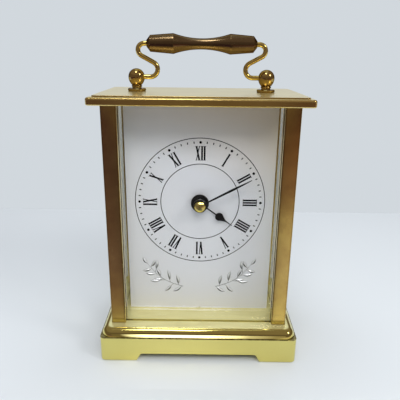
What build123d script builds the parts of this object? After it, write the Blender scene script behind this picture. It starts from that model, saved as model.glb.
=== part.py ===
from build123d import *
import math
import os

# Brass carriage clock for a mantelpiece, with a quartz movement behind a full-height dial.
# Millimetres. +X is to the right of the dial, +Y to the back of the clock, +Z up.
# The origin is on the table, under the middle of the base. The dial faces -Y.

# ------------------------------------------------------------------ driving sizes: the case
base_width = 88.0
base_depth = 57.0
base_height = 15.6
base_wall = 3.0
base_roof = 3.6            # thickness left over the hollow underside
plinth_corner = 2.3        # plan radius of the upright corners
plinth_foot_ease = 0.5
roll_height = 3.9          # convex roll round the top of the base
roll_radius = 3.7
roll_inset = 0.6           # quirk between the roll and the upright face
roll_corner = 4.4
arch_height = 4.0          # low arches that leave four bracket feet
arch_front_width = 56.0
arch_side_width = 26.0
arch_slope = 2.3
arch_round = 1.3

pillar_size = 6.4
pillar_length = 97.5
pillar_setback_x = 4.6     # from the side of the base to the pillar
pillar_setback_y = 6.5     # from the front of the base to the pillar
pillar_arris = 0.35

top_overhang = 4.6         # top plate beyond the pillars
top_thickness = 3.7
top_corner = 1.4
top_edge_round = 1.0
top_lower_ease = 0.4
top_panel_inset = 2.0      # raised panel, in from the edge of the plate
top_panel_rise = 0.6
top_panel_corner = 1.8
top_panel_round = 0.25

glass_thickness = 2.0
glass_setback = 1.9        # from the pillar's outer face to the glass
glass_bite = 0.9           # how far a pane reaches into each groove
glass_clearance = 0.1

# tie screws run up through the base and pillars into the top plate
tie_radius = 1.5
tie_head_radius = 2.7
tie_head_height = 2.0
tie_slot = 0.8
tie_seat_height = 6.0      # seat of the head above the table
tie_boss_half = 5.0
tie_boss_recess = 1.5
tie_reach = 2.3            # thread inside the top plate
hole_clearance = 0.2
thread_clearance = 0.03

# ------------------------------------------------------------------ driving sizes: the handle
post_inset = 16.3          # from the side of the top plate to each ball post
ball_height = 5.9          # ball centre above the top plate
ball_radius = 3.47
ball_under_radius = 4.66   # fuller curve below the ball's middle
post_foot_radius = 3.85
post_foot_height = 1.2
post_neck_radius = 1.95
post_bead_radius = 2.25    # thin bead between the neck and the ball
post_bead_height = 0.7
stud_radius = 1.5
washer_radius = 3.2
washer_thickness = 0.5
nut_flats = 5.5
nut_height = 2.4
stud_spare = 0.6

wire_radius = 1.0
pivot_clearance = 0.05
pivot_beyond_centre = 1.5
loop_upper_radius = 2.6
loop_lower_radius = 3.15
loop_out_inset = 0.9       # outermost reach of the wire's centre line, in from the ball post
loop_in_inset = 9.05       # innermost reach of the wire's centre line, in from the ball post
grip_rise = 13.5           # grip axis above the pivots
grip_end_inset = 4.6       # end of the grip, in from the ball post
grip_end_radius = 1.4
grip_cone_length = 1.5     # cone from the end up to the barrel's shoulder
grip_shoulder_radius = 3.35
grip_barrel_length = 9.4
grip_ring_radius = 4.1     # the two arrises that frame the waist
grip_ring_flat = 0.4
grip_waist_radius = 2.2
grip_bore_depth = 4.0

# ------------------------------------------------------------------ driving sizes: dial and hands
dial_front = -7.5          # Y of the dial's face
dial_thickness = 0.9
dial_side_gap = 0.2        # from the dial's edge to the pillar
dial_flange = 3.0
dial_gap = 0.1
dial_centre_height = 69.2
dial_notch_radius = 0.75
dial_tab_width = 6.0
dial_tab_height = 1.2
dial_foot_width = 14.0
dial_foot_length = 9.0
dial_screw_radius = 1.25
dial_screw_head_radius = 2.3
dial_screw_head_height = 1.6
dial_nut_radius = 3.6
dial_nut_height = 1.0
dial_nut_slot = 0.9

minute_hand_angle = 61.8   # degrees clockwise from twelve
hour_hand_angle = 125.6    # degrees clockwise from twelve
hand_thickness = 0.35
hour_hub_radius = 4.0
hour_hub_height = 0.9
hour_length = 17.9
hour_leaf_centre = 10.7
hour_leaf_radius = 1.85
hour_leaf_turn = 35.0      # degrees past the widest place where the round leaf turns hollow
hour_leaf_end = 14.6       # where the leaf has drawn in to the tip
hour_stem = 0.55
minute_hub_radius = 3.0
minute_hub_height = 0.9
minute_length = 25.2
minute_widest = 16.0
minute_width = 1.0
minute_stem = 0.5
hand_gap = 3.0             # between the two hubs
hub_gap = 0.1
cap_radius = 2.37
cap_rim = 0.8
cap_height = 1.75

# ------------------------------------------------------------------ driving sizes: the rear door
door_thickness = 1.2
door_gap = 0.3
door_face_setback = 0.8    # from the pillars' back faces to the door
door_pin_inset = 1.2       # pin axis from the door's edge
door_pin_radius = 0.75
door_pin_reach = 2.0       # into the base and the top plate
door_pin_grip = 4.0        # held in the door
door_knuckle_radius = 1.05
door_knob_radius = 2.1
door_knob_length = 5.2
door_knob_foot_radius = 1.9
door_knob_foot_height = 0.6
door_knob_neck_radius = 1.0
door_rivet_radius = 1.5
door_rivet_height = 0.3
door_knob_inset = 6.0
door_stop_radius = 0.75
door_stop_height = 3.0
door_stop_depth = 2.0

# ------------------------------------------------------------------ driving sizes: the quartz movement
module_corner = 3.0
module_front_wall = 1.2
module_wall = 1.6
module_depth = 15.5
cover_thickness = 1.2
washer_gap = 1.0           # rubber washer between movement and dial
washer_pad_radius = 9.0
bush_radius = 3.0
hour_pipe_radius = 2.1
minute_pipe_radius = 1.4
minute_thread_radius = 1.1
centre_stub_radius = 0.55
running = 0.05             # radial clearance of every arbor
layer_gap = 0.3

# levels inside the movement, each a range of depth behind its front face
hour_level = (1.5, 2.3)
motion_level = (3.0, 3.7)
centre_level = (4.3, 4.9)
mid_plate_level = (5.4, 6.4)
third_level = (7.0, 7.6)
stator_level = (8.8, 9.8)
magnet_level = (8.3, 10.3)
second_level = (9.6, 10.2)
intermediate_level = (11.8, 12.4)
pinion_spare = 0.2         # how far a pinion stands past its wheel, each side
pivot_depth = 0.8
pivot_end_gap = 0.1
front_pivot_floor = 0.4    # metal left in front of the blind holes in the front wall

motion_module = 0.375
hour_module = 0.36
centre_module = 0.22667
third_module = 0.24
second_module = 0.21
rotor_module = 0.2
cannon_teeth = 12
minute_wheel_teeth = 36
minute_pinion_teeth = 10
hour_teeth = 40
setting_teeth = 12
centre_teeth = 64
third_pinion_teeth = 8
third_teeth = 60
second_pinion_teeth = 8
second_teeth = 60
intermediate_pinion_teeth = 10
intermediate_teeth = 60
rotor_teeth = 12
motion_bearing = 20.0      # degrees from +X towards +Z
setting_bearing = 75.0
third_bearing = 190.0
intermediate_bearing = 120.0
rotor_bearing = 110.0
tooth_root_depth = 1.2     # in modules
tooth_root_share = 0.99    # widest a root may be, as a share of the pitch
# each tooth: height over the pitch circle in modules, then thickness at pitch and at tip in pitches
pinion_tooth = (1.0, 0.40, 0.16)
wheel_tooth = (0.7, 0.42, 0.22)

arbor_radius = 0.6
pivot_radius = 0.35
hub_radius = 1.2
cover_boss_radius = 1.7
magnet_radius = 3.0
magnet_gap = 0.4
magnet_hub_spare = 0.6     # hub in front of the magnet
knob_radius = 4.6
knob_length = 4.0
knob_gap = 0.4
knob_flutes = 18
knob_flute_radius = 0.45
setting_arbor_radius = 0.9

battery_radius = 7.25
battery_length = 50.5
battery_cap_radius = 2.7
battery_cap_length = 1.0
battery_end_ease = 0.4
battery_clearance = 0.15
contact_thickness = 0.4
contact_dimple = 0.75      # how far each contact stands out to the cell
contact_width = 9.0
contact_dimple_radius = 2.5
partition_thickness = 1.2

coil_half = 9.0
coil_x = -4.0
coil_wall_gap = 1.0        # from the bobbin to the top wall
coil_radius = 3.2
bobbin_radius = 2.2
bobbin_flange_radius = 3.4
bobbin_flange = 0.8
core_width = 3.0
core_thickness = 1.0
stator_leg = 3.6
stator_gap = 0.4
stator_low = 9.0
stator_high = 17.0
stator_screw_radius = 0.8
stator_screw_head = 1.5
stator_screw_height = 0.8
stator_screw_floor = 0.5   # left in front of the screws in the mid plate
stator_post_radius = 1.7
stator_notch_bearing = 65.0    # the two flux gaps, seen from the rotor
corner_post_inset = 2.0
lower_posts = -8.0         # from the centre axis

board_width = 12.3
board_wall_gap = 0.6       # from the board to the right and top walls
board_low = -9.0           # lower edge, from the centre axis
board_thickness = 0.8
board_post_height = 0.8
board_post_radius = 1.3
board_post_inset = 3.0
crystal_radius = 1.55
crystal_length = 8.0
chip_radius = 3.0
chip_height = 1.0

# ------------------------------------------------------------------ sizes that follow from those
pillar_x = base_width / 2 - pillar_setback_x - pillar_size / 2
pillar_y = base_depth / 2 - pillar_setback_y - pillar_size / 2
inner_x = pillar_x - pillar_size / 2
outer_x = pillar_x + pillar_size / 2
inner_y = pillar_y - pillar_size / 2
outer_y = pillar_y + pillar_size / 2
floor = base_height
ceiling = floor + pillar_length
roof = ceiling + top_thickness
plinth_height = base_height - roll_height
hollow_top = base_height - base_roof

pane_out = glass_setback                       # pane faces, measured in from the pillar's outer face
pane_in = glass_setback + glass_thickness
front_pane = (-outer_y + pane_out, -outer_y + pane_in)
side_pane = (outer_x - pane_in, outer_x - pane_out)
groove_depth = glass_bite + glass_clearance
pane_height = (floor - glass_bite, ceiling + glass_bite)
pillar_places = [(x, y) for x in (-pillar_x, pillar_x) for y in (-pillar_y, pillar_y)]

pivot_height = roof + ball_height
grip_height = pivot_height + grip_rise
post_x = outer_x + top_overhang - post_inset
grip_half = post_x - grip_end_inset
dial_half_width = inner_x - dial_side_gap

wall_inside = battery_length / 2 + contact_dimple + contact_thickness
module_size = 2 * (wall_inside + module_wall)
dial_back = dial_front + dial_thickness
module_front = dial_back + washer_gap
case_back = module_depth - cover_thickness     # depth at which the rear cover is seated


def spread(middle, half):
    """The range that reaches `half` to each side of `middle`."""
    return (middle - half, middle + half)


def grown(span, amount):
    """A range made longer by `amount` at both ends, or shorter when it is negative."""
    return (span[0] - amount, span[1] + amount)


def block(x, y, z):
    """A box that fills three ranges."""
    sizes = [high - low for low, high in (x, y, z)]
    middles = [(high + low) / 2 for low, high in (x, y, z)]
    return Pos(*middles) * Box(*sizes)


def upright(x, y, radius, z):
    """A cylinder along Z that fills the range z."""
    return Pos(x, y, (z[0] + z[1]) / 2) * Cylinder(radius, z[1] - z[0])


def along_x(y, z, radius, x):
    """A cylinder along X that fills the range x."""
    return Pos((x[0] + x[1]) / 2, y, z) * Rot(0, 90, 0) * Cylinder(radius, x[1] - x[0])


def along_y(x, z, radius, y):
    """A cylinder along Y that fills the range y."""
    return Pos(x, (y[0] + y[1]) / 2, z) * Rot(90, 0, 0) * Cylinder(radius, y[1] - y[0])


def plate(face, y):
    """A face drawn in X and Z, thickened to fill the range y."""
    back = Plane(origin=(0, y[1], 0), x_dir=(1, 0, 0), z_dir=(0, -1, 0))
    return extrude(back * face, amount=y[1] - y[0])


def outline(points):
    """A closed face through the points, with straight sides."""
    return make_face(Polyline(points, close=True))


def all_of(shapes):
    """Separate solids kept together as one part."""
    return Compound(children=[solid for shape in shapes for solid in shape.solids()])


def mirrored_x(shape):
    return mirror(shape, about=Plane.YZ)


def turned(profile):
    """A solid turned about Z from a closed outline, drawn in X and Z."""
    return revolve(Plane.XZ * make_face(profile), axis=Axis.Z)


def axis_from(start, distance, bearing):
    """A point at a distance and bearing from another, in X and Z. Bearings run from +X towards +Z."""
    angle = math.radians(bearing)
    return (start[0] + distance * math.cos(angle), start[1] + distance * math.sin(angle))


# ------------------------------------------------------------------ the brass case
def arch(width):
    """The gap between two bracket feet, drawn in a plane whose upright is Z: sloping ends, eased corners."""
    half = width / 2
    top = half - arch_slope
    beyond = half + 2 * arch_round
    face = outline([(-beyond, -1), (-beyond, 0), (-half, 0), (-top, arch_height),
                    (top, arch_height), (half, 0), (beyond, 0), (beyond, -1)])
    eased = [v for v in face.vertices() if math.isclose(abs(v.X), half) or math.isclose(v.Y, arch_height)]
    return fillet(eased, arch_round)


def glass_grooves(z):
    """Shallow grooves for the three fixed panes, as a cutting tool that fills the range z."""
    front = block(spread(0, inner_x + groove_depth), grown(front_pane, glass_clearance), z)
    right = block(grown(side_pane, glass_clearance), spread(0, inner_y + groove_depth), z)
    return front + right + mirrored_x(right)


def make_base():
    plinth = extrude(RectangleRounded(base_width, base_depth, plinth_corner), plinth_height)
    plinth = chamfer(plinth.faces().sort_by(Axis.Z)[0].edges(), plinth_foot_ease)
    ring = RectangleRounded(base_width - 2 * roll_inset, base_depth - 2 * roll_inset, roll_corner)
    roll = extrude(Pos(0, 0, plinth_height) * ring, roll_height)
    roll = fillet(roll.faces().sort_by(Axis.Z)[-1].edges(), roll_radius)
    body = plinth + roll

    wall_x = base_width / 2 - base_wall
    wall_y = base_depth / 2 - base_wall
    hollow = block(spread(0, wall_x), spread(0, wall_y), (-1, hollow_top))
    for x, y in pillar_places:
        reach_x = sorted((x - math.copysign(tie_boss_half, x), math.copysign(wall_x + 1, x)))
        reach_y = sorted((y - math.copysign(tie_boss_half, y), math.copysign(wall_y + 1, y)))
        hollow -= block(reach_x, reach_y, (tie_boss_recess, hollow_top + 1))
    body -= hollow
    body -= plate(arch(arch_front_width), spread(0, base_depth))
    side_arch = Plane(origin=(-base_width, 0, 0), x_dir=(0, 1, 0), z_dir=(1, 0, 0)) * arch(arch_side_width)
    body -= extrude(side_arch, amount=2 * base_width)

    for x, y in pillar_places:
        body -= upright(x, y, tie_radius + hole_clearance, (0, base_height + 1))
        body -= upright(x, y, tie_head_radius + 2 * hole_clearance, (-1, tie_seat_height))
    body -= glass_grooves((floor - groove_depth, floor + 1))
    body -= upright(0, dial_foot_hole(), dial_screw_radius + hole_clearance, (0, base_height + 1))
    pin_hole = (floor - door_pin_reach - door_gap, floor + 1)
    body -= upright(*door_axis(), door_pin_radius + pivot_clearance, pin_hole)
    body -= upright(*door_stop_place(), door_stop_radius, (floor - door_stop_depth, floor + 1))
    return body


def make_pillar(side, end):
    """One square pillar. side is -1 or 1 for left or right, end is -1 or 1 for front or rear."""
    x = side * pillar_x
    y = end * pillar_y
    post = block(spread(x, pillar_size / 2), spread(y, pillar_size / 2), (floor, ceiling))
    post = fillet(post.edges().filter_by(Axis.Z), pillar_arris)
    through = (floor - 1, ceiling + 1)
    post -= upright(x, y, tie_radius + hole_clearance, through)
    grooves = block(grown(side_pane, glass_clearance), spread(0, inner_y + groove_depth), through)
    grooves += mirrored_x(grooves)
    if end < 0:
        grooves += block(spread(0, inner_x + groove_depth), grown(front_pane, glass_clearance), through)
    return post - grooves


def make_top_plate():
    """Slab with a rounded rim and a slightly raised panel inside it."""
    width = 2 * (outer_x + top_overhang)
    depth = 2 * (outer_y + top_overhang)
    rim = roof - top_panel_rise
    slab = extrude(Pos(0, 0, ceiling) * RectangleRounded(width, depth, top_corner), rim - ceiling)
    slab = fillet(slab.faces().sort_by(Axis.Z)[-1].edges(), top_edge_round)
    slab = chamfer(slab.faces().sort_by(Axis.Z)[0].edges(), top_lower_ease)
    field = RectangleRounded(width - 2 * top_panel_inset, depth - 2 * top_panel_inset, top_panel_corner)
    panel = extrude(Pos(0, 0, rim) * field, top_panel_rise)
    slab += fillet(panel.faces().sort_by(Axis.Z)[-1].edges(), top_panel_round)
    for x, y in pillar_places:
        thread = (ceiling - 1, ceiling + tie_reach + hole_clearance)
        slab -= upright(x, y, tie_radius + thread_clearance, thread)
    for x in (-post_x, post_x):
        slab -= upright(x, 0, stud_radius + hole_clearance / 2, (ceiling - 1, roof + 1))
    slab -= glass_grooves((ceiling - 1, ceiling + groove_depth))
    slab -= block(spread(0, dial_tab_width / 2 + hole_clearance), grown((dial_front, dial_back), dial_gap),
                  (ceiling - 1, ceiling + dial_tab_height + dial_gap))
    pin_hole = (ceiling - 1, ceiling + door_pin_reach + door_gap)
    return slab - upright(*door_axis(), door_pin_radius + pivot_clearance, pin_hole)


def make_tie_screws():
    """Four long slotted screws that draw base, pillars and top plate together."""
    screws = []
    low = tie_seat_height - tie_head_height
    for x, y in pillar_places:
        head = upright(x, y, tie_head_radius, (low, tie_seat_height))
        head = chamfer(head.faces().sort_by(Axis.Z)[0].edges(), tie_head_height / 4)
        head -= block(spread(x, tie_head_radius + 1), spread(y, tie_slot / 2), (0, low + tie_slot))
        screws.append(head + upright(x, y, tie_radius, (tie_seat_height, ceiling + tie_reach)))
    return all_of(screws)


def make_front_glass():
    return block(spread(0, inner_x + glass_bite), front_pane, pane_height)


def make_side_glass(side):
    pane = block(side_pane, spread(0, inner_y + glass_bite), pane_height)
    return pane if side > 0 else mirrored_x(pane)


# ------------------------------------------------------------------ the handle
def make_ball_post(side):
    """Turned post: foot, neck, bead and ball in one piece with its stud through the top plate."""
    foot = roof + post_foot_height
    top = pivot_height + ball_radius
    under_centre = ball_radius - ball_under_radius
    under_angle = math.acos((post_neck_radius - under_centre) / ball_under_radius)
    bead = pivot_height - ball_under_radius * math.sin(under_angle)
    neck = bead - post_bead_height
    ease = post_foot_height / 4
    stud_low = ceiling - washer_thickness - nut_height - stud_spare
    profile = Polyline((0, top), (0, stud_low), (stud_radius, stud_low), (stud_radius, roof),
                       (post_foot_radius - ease, roof), (post_foot_radius, roof + ease),
                       (post_foot_radius, foot - ease), (post_foot_radius - ease, foot),
                       (post_neck_radius, foot), (post_neck_radius, neck))
    profile += ThreePointArc((post_neck_radius, neck), (post_bead_radius, (neck + bead) / 2),
                             (post_neck_radius, bead))
    half_under = (under_centre + ball_under_radius * math.cos(under_angle / 2),
                  pivot_height - ball_under_radius * math.sin(under_angle / 2))
    profile += ThreePointArc((post_neck_radius, bead), half_under, (ball_radius, pivot_height))
    profile += CenterArc((0, pivot_height), ball_radius, 0, 90)
    bore = sorted((-side * (ball_radius + 1), side * (pivot_beyond_centre + pivot_clearance)))
    post = turned(profile) - along_x(0, pivot_height, wire_radius + pivot_clearance, bore)
    return Pos(side * post_x, 0, 0) * post


def make_post_washers():
    z = (ceiling - washer_thickness, ceiling)
    ring = upright(0, 0, washer_radius, z) - upright(0, 0, stud_radius + hole_clearance / 2, z)
    return all_of([Pos(x, 0, 0) * ring for x in (-post_x, post_x)])


def make_post_nuts():
    low = ceiling - washer_thickness - nut_height
    hexagon = RegularPolygon(nut_flats / 2, 6, major_radius=False) - Circle(stud_radius + thread_clearance)
    nut = extrude(Pos(0, 0, low) * hexagon, nut_height)
    return all_of([Pos(x, 0, 0) * nut for x in (-post_x, post_x)])


def wire_run(start, end):
    """Straight wire between two points in X and Z."""
    along = (end[0] - start[0], 0, end[1] - start[1])
    section = Plane(origin=(start[0], 0, start[1]), z_dir=along) * Circle(wire_radius)
    return extrude(section, math.hypot(*along))


def wire_bend(centre, radius, start, end):
    """Wire bent about a centre in X and Z, from one bearing to another."""
    x, z = axis_from(centre, radius, start)
    along = (-math.sin(math.radians(start)), 0, math.cos(math.radians(start)))
    section = Plane(origin=(x, 0, z), z_dir=along) * Circle(wire_radius)
    return revolve(section, axis=Axis((centre[0], 0, centre[1]), (0, -1, 0)), revolution_arc=end - start)


def make_handle_arm(side):
    """Bent wire from the grip to the ball: an upper loop outwards, a slanting run, a lower loop inwards."""
    upper = (post_x - loop_out_inset - loop_upper_radius, grip_height - loop_upper_radius)
    lower = (post_x - loop_in_inset + loop_lower_radius, pivot_height + loop_lower_radius)
    across = upper[0] - lower[0]
    down = upper[1] - lower[1]
    both = loop_upper_radius + loop_lower_radius
    slope = math.degrees(math.atan2(down, across) - math.asin(both / math.hypot(across, down)))
    arm = wire_run((grip_half - grip_bore_depth + pivot_clearance, grip_height), (upper[0], grip_height))
    arm += wire_bend(upper, loop_upper_radius, slope - 90, 90)
    arm += wire_run(axis_from(upper, loop_upper_radius, slope - 90),
                    axis_from(lower, loop_lower_radius, slope + 90))
    arm += wire_bend(lower, loop_lower_radius, slope + 90, 3 * 90)
    arm += wire_run((lower[0], pivot_height), (post_x + pivot_beyond_centre, pivot_height))
    return arm if side > 0 else mirrored_x(arm)


def make_handle_grip():
    """Turned grip: end cones, two tapered barrels that rise to an arris, and a long hollow waist."""
    shoulder = grip_half - grip_cone_length
    ring_out = shoulder - grip_barrel_length
    ring_in = ring_out - grip_ring_flat
    profile = TangentArc((grip_waist_radius, 0), (grip_ring_radius, ring_in), tangent=(0, 1))
    profile += Polyline((grip_ring_radius, ring_in), (grip_ring_radius, ring_out),
                        (grip_shoulder_radius, shoulder), (grip_end_radius, grip_half), (0, grip_half),
                        (0, 0), (grip_waist_radius, 0))
    right = Rot(0, 90, 0) * turned(profile)
    right -= along_x(0, 0, wire_radius + thread_clearance, (grip_half - grip_bore_depth, grip_half + 1))
    return Pos(0, 0, grip_height) * (right + mirrored_x(right))


# ------------------------------------------------------------------ the dial and what holds it
def dial_foot_hole():
    """Y of the screw that holds the dial's foot to the base."""
    return dial_back + dial_foot_length / 2


def make_dial_plate():
    """Sheet dial with short folded flanges, a foot for one screw and a tab that locates in the top plate."""
    z = (floor, ceiling - dial_gap)
    pan = block(spread(0, dial_half_width), (dial_front, dial_front + dial_flange), z)
    pan -= block(spread(0, dial_half_width - dial_thickness), (dial_back, dial_front + dial_flange + 1),
                 grown(z, -dial_thickness))
    pan += block(spread(0, dial_foot_width / 2), (dial_back, dial_back + dial_foot_length),
                 (z[0], z[0] + dial_thickness))
    pan += block(spread(0, dial_tab_width / 2), (dial_front, dial_back), (z[1], ceiling + dial_tab_height))
    pan -= along_y(0, dial_centre_height, bush_radius + hole_clearance, (dial_front - 1, dial_back + 1))
    pan -= along_y(0, floor, dial_notch_radius, (dial_front - 1, dial_back))
    pan -= upright(0, dial_foot_hole(), dial_screw_radius + thread_clearance, (floor - 1, floor + 2))
    return pan


def make_dial_screw():
    y = dial_foot_hole()
    head = upright(0, y, dial_screw_head_radius, (hollow_top - dial_screw_head_height, hollow_top))
    head -= block(spread(0, dial_screw_head_radius + 1), spread(y, tie_slot / 2),
                  (0, hollow_top - dial_screw_head_height + tie_slot))
    return head + upright(0, y, dial_screw_radius, (hollow_top, floor + dial_thickness + 1))


def make_dial_nut():
    """Low round nut with two spanner slots. It clamps the dial to the movement's threaded bush."""
    y = (dial_front - dial_nut_height, dial_front)
    nut = along_y(0, dial_centre_height, dial_nut_radius, y)
    nut -= along_y(0, dial_centre_height, bush_radius + thread_clearance, grown(y, 1))
    slots = block(spread(0, dial_nut_radius + 1), (y[0] - 1, y[0] + dial_nut_height / 2),
                  spread(dial_centre_height, dial_nut_slot / 2))
    return nut - slots


def make_rubber_washer():
    y = (dial_back, module_front)
    return (along_y(0, dial_centre_height, washer_pad_radius, y)
            - along_y(0, dial_centre_height, bush_radius + hole_clearance, grown(y, 1)))


# ------------------------------------------------------------------ gears
def mesh_distance(module, teeth_a, teeth_b):
    return module * (teeth_a + teeth_b) / 2


centre_axis = (0.0, dial_centre_height)
motion_axis = axis_from(
    centre_axis, mesh_distance(motion_module, cannon_teeth, minute_wheel_teeth), motion_bearing)
setting_axis = axis_from(
    motion_axis, mesh_distance(motion_module, minute_wheel_teeth, setting_teeth), setting_bearing)
third_axis = axis_from(
    centre_axis, mesh_distance(centre_module, centre_teeth, third_pinion_teeth), third_bearing)
intermediate_axis = axis_from(
    centre_axis, mesh_distance(second_module, second_teeth, intermediate_pinion_teeth), intermediate_bearing)
rotor_axis = axis_from(
    intermediate_axis, mesh_distance(rotor_module, intermediate_teeth, rotor_teeth), rotor_bearing)


def meshed_phase(phase, teeth, bearing, mate_teeth):
    """Phase of a mate that lies at `bearing` from a gear, so that teeth stand in gaps. All in degrees."""
    return bearing + 180 + 180 / mate_teeth - (phase - bearing) * teeth / mate_teeth


def gear(axis, teeth, module, tooth, phase, depth):
    """A toothed disc. Phase is the bearing of one tooth; depth is a range inside the movement."""
    height, thickness, tip_thickness = tooth
    pitch = math.pi * module
    pitch_radius = teeth * module / 2
    tip_radius = pitch_radius + height * module
    root_radius = pitch_radius - tooth_root_depth * module
    root_thickness = thickness + (thickness - tip_thickness) * tooth_root_depth / height
    root_half = min(root_thickness * pitch / 2 / root_radius, tooth_root_share * math.pi / teeth)
    tip_half = tip_thickness * pitch / 2 / tip_radius
    points = []
    for number in range(teeth):
        middle = math.radians(phase) + 2 * math.pi * number / teeth
        for radius, turn in ((root_radius, -root_half), (tip_radius, -tip_half),
                             (tip_radius, tip_half), (root_radius, root_half)):
            points.append(axis_from(axis, radius, math.degrees(middle + turn)))
    return plate(outline(points), inside(depth))


def inside(depth):
    """A range of Y from a range of depth behind the movement's front face."""
    return (module_front + depth[0], module_front + depth[1])


def spindle(axis, radius, depth):
    return along_y(axis[0], axis[1], radius, inside(depth))


def bored(body, axis, radius, depth):
    return body - spindle(axis, radius, depth)


# phases, worked outwards from the two wheels on the centre axis
cannon_phase = motion_bearing
minute_wheel_phase = meshed_phase(cannon_phase, cannon_teeth, motion_bearing, minute_wheel_teeth)
setting_phase = meshed_phase(minute_wheel_phase, minute_wheel_teeth, setting_bearing, setting_teeth)
hour_phase = motion_bearing
minute_pinion_phase = meshed_phase(hour_phase, hour_teeth, motion_bearing, minute_pinion_teeth)
centre_phase = third_bearing
third_pinion_phase = meshed_phase(centre_phase, centre_teeth, third_bearing, third_pinion_teeth)
second_pinion_phase = third_bearing
third_phase = meshed_phase(second_pinion_phase, second_pinion_teeth, third_bearing, third_teeth)
second_phase = intermediate_bearing
intermediate_pinion_phase = meshed_phase(
    second_phase, second_teeth, intermediate_bearing, intermediate_pinion_teeth)
intermediate_phase = rotor_bearing
rotor_phase = meshed_phase(intermediate_phase, intermediate_teeth, rotor_bearing, rotor_teeth)

bush_front = dial_front - dial_nut_height - hub_gap / 2
hour_hub_back = dial_front - dial_nut_height - hub_gap
hour_hub_front = hour_hub_back - hour_hub_height
minute_hub_back = hour_hub_front - hand_gap
minute_hub_front = minute_hub_back - minute_hub_height
plate_front, plate_back = mid_plate_level
cover_boss_front = case_back - pivot_depth - layer_gap
arbor_end = cover_boss_front - layer_gap / 2           # shoulder of every going arbor, short of its boss
train_arbor = (plate_back + layer_gap / 2, arbor_end)
rear_pivot_end = case_back - layer_gap - pivot_end_gap
train_pivots = (plate_back - pivot_depth + pivot_end_gap, rear_pivot_end)
front_pivot_end = front_pivot_floor + pivot_end_gap
rotor_hub_radius = rotor_module * (rotor_teeth / 2 - tooth_root_depth)


# ------------------------------------------------------------------ motion work and hands
def make_hour_wheel():
    """Hour wheel and its pipe, which carries the hour hand in front of the dial."""
    wheel = gear(centre_axis, hour_teeth, hour_module, wheel_tooth, hour_phase, hour_level)
    length = (hour_hub_front - hub_gap, inside(hour_level)[1])
    pipe = along_y(0, dial_centre_height, hour_pipe_radius, length)
    return wheel + pipe - along_y(0, dial_centre_height, minute_pipe_radius + running, grown(length, 1))


def make_cannon_pinion():
    """Cannon pinion: the pipe that carries the minute hand, with the pinion for the minute wheel."""
    level = grown(motion_level, pinion_spare / 2)
    body = gear(centre_axis, cannon_teeth, motion_module, pinion_tooth, cannon_phase, level)
    body += along_y(0, dial_centre_height, minute_pipe_radius, (minute_hub_back, inside(level)[1]))
    body += along_y(0, dial_centre_height, minute_thread_radius,
                    (minute_hub_front - cap_height / 2, inside(level)[1]))
    return bored(body, centre_axis, centre_stub_radius + running, (-pivot_depth, level[1] + 1))


def make_minute_wheel():
    """Minute wheel, turned by the cannon pinion and turning the hour wheel through its own pinion."""
    axis = motion_axis
    body = gear(axis, minute_wheel_teeth, motion_module, wheel_tooth, minute_wheel_phase, motion_level)
    body += gear(axis, minute_pinion_teeth, hour_module, pinion_tooth, minute_pinion_phase,
                 (hour_level[0], motion_level[0]))
    return body + spindle(axis, centre_stub_radius - running,
                          (front_pivot_end, plate_front + pivot_depth - pivot_end_gap))


def make_setting_arbor():
    """Setting pinion on the long arbor that ends behind the movement, inside the knob."""
    level = grown(motion_level, pinion_spare / 2)
    body = gear(setting_axis, setting_teeth, motion_module, pinion_tooth, setting_phase, level)
    body += spindle(setting_axis, centre_stub_radius - running, (front_pivot_end, level[0]))
    return body + spindle(setting_axis, setting_arbor_radius,
                          (level[1], module_depth + knob_gap + knob_length / 2))


def make_setting_knob():
    depth = (module_depth + knob_gap, module_depth + knob_gap + knob_length)
    knob = spindle(setting_axis, knob_radius, depth)
    knob = chamfer(knob.faces().sort_by(Axis.Y)[-1].edges(), knob_flute_radius)
    for number in range(knob_flutes):
        flute = axis_from(setting_axis, knob_radius, 360 * number / knob_flutes)
        knob -= spindle(flute, knob_flute_radius, grown(depth, 1))
    bore = (depth[0] - 1, depth[0] + knob_length / 2)
    return bored(knob, setting_axis, setting_arbor_radius + thread_clearance, bore)


def placed_hand(shape, angle):
    """A hand drawn upright about the origin, turned clockwise and set on the centre axis."""
    return Pos(0, 0, dial_centre_height) * Rot(0, angle, 0) * shape


def make_hour_hand():
    """Spade hand: thin stem, round-backed leaf that draws in to a fine tip, and a broad round hub."""
    y = spread((hour_hub_back + hour_hub_front) / 2, hand_thickness / 2)
    tip = hour_stem / 2
    stem = outline([(-tip, 0), (-tip, hour_leaf_centre), (tip, hour_leaf_centre), (tip, 0)])
    centre = (0, hour_leaf_centre)
    right = axis_from(centre, hour_leaf_radius, hour_leaf_turn)
    left = axis_from(centre, hour_leaf_radius, 180 - hour_leaf_turn)
    turn = math.radians(hour_leaf_turn)
    edge = ThreePointArc(left, (0, hour_leaf_centre - hour_leaf_radius), right)
    edge += TangentArc(right, (tip, hour_leaf_end), tangent=(-math.sin(turn), math.cos(turn)))
    edge += Polyline((tip, hour_leaf_end), (tip / 3, hour_length), (-tip / 3, hour_length),
                     (-tip, hour_leaf_end))
    edge += TangentArc(left, (-tip, hour_leaf_end), tangent=(math.sin(turn), math.cos(turn)))
    leaf = make_face(edge)
    hub_y = (hour_hub_front, hour_hub_back)
    hub = along_y(0, 0, hour_hub_radius, hub_y)
    hub = chamfer(hub.faces().sort_by(Axis.Y)[0].edges(), hour_hub_height / 4)
    bore = along_y(0, 0, hour_pipe_radius + thread_clearance, grown(hub_y, 1))
    return placed_hand(plate(stem + leaf, y) + hub - bore, hour_hand_angle)


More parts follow.
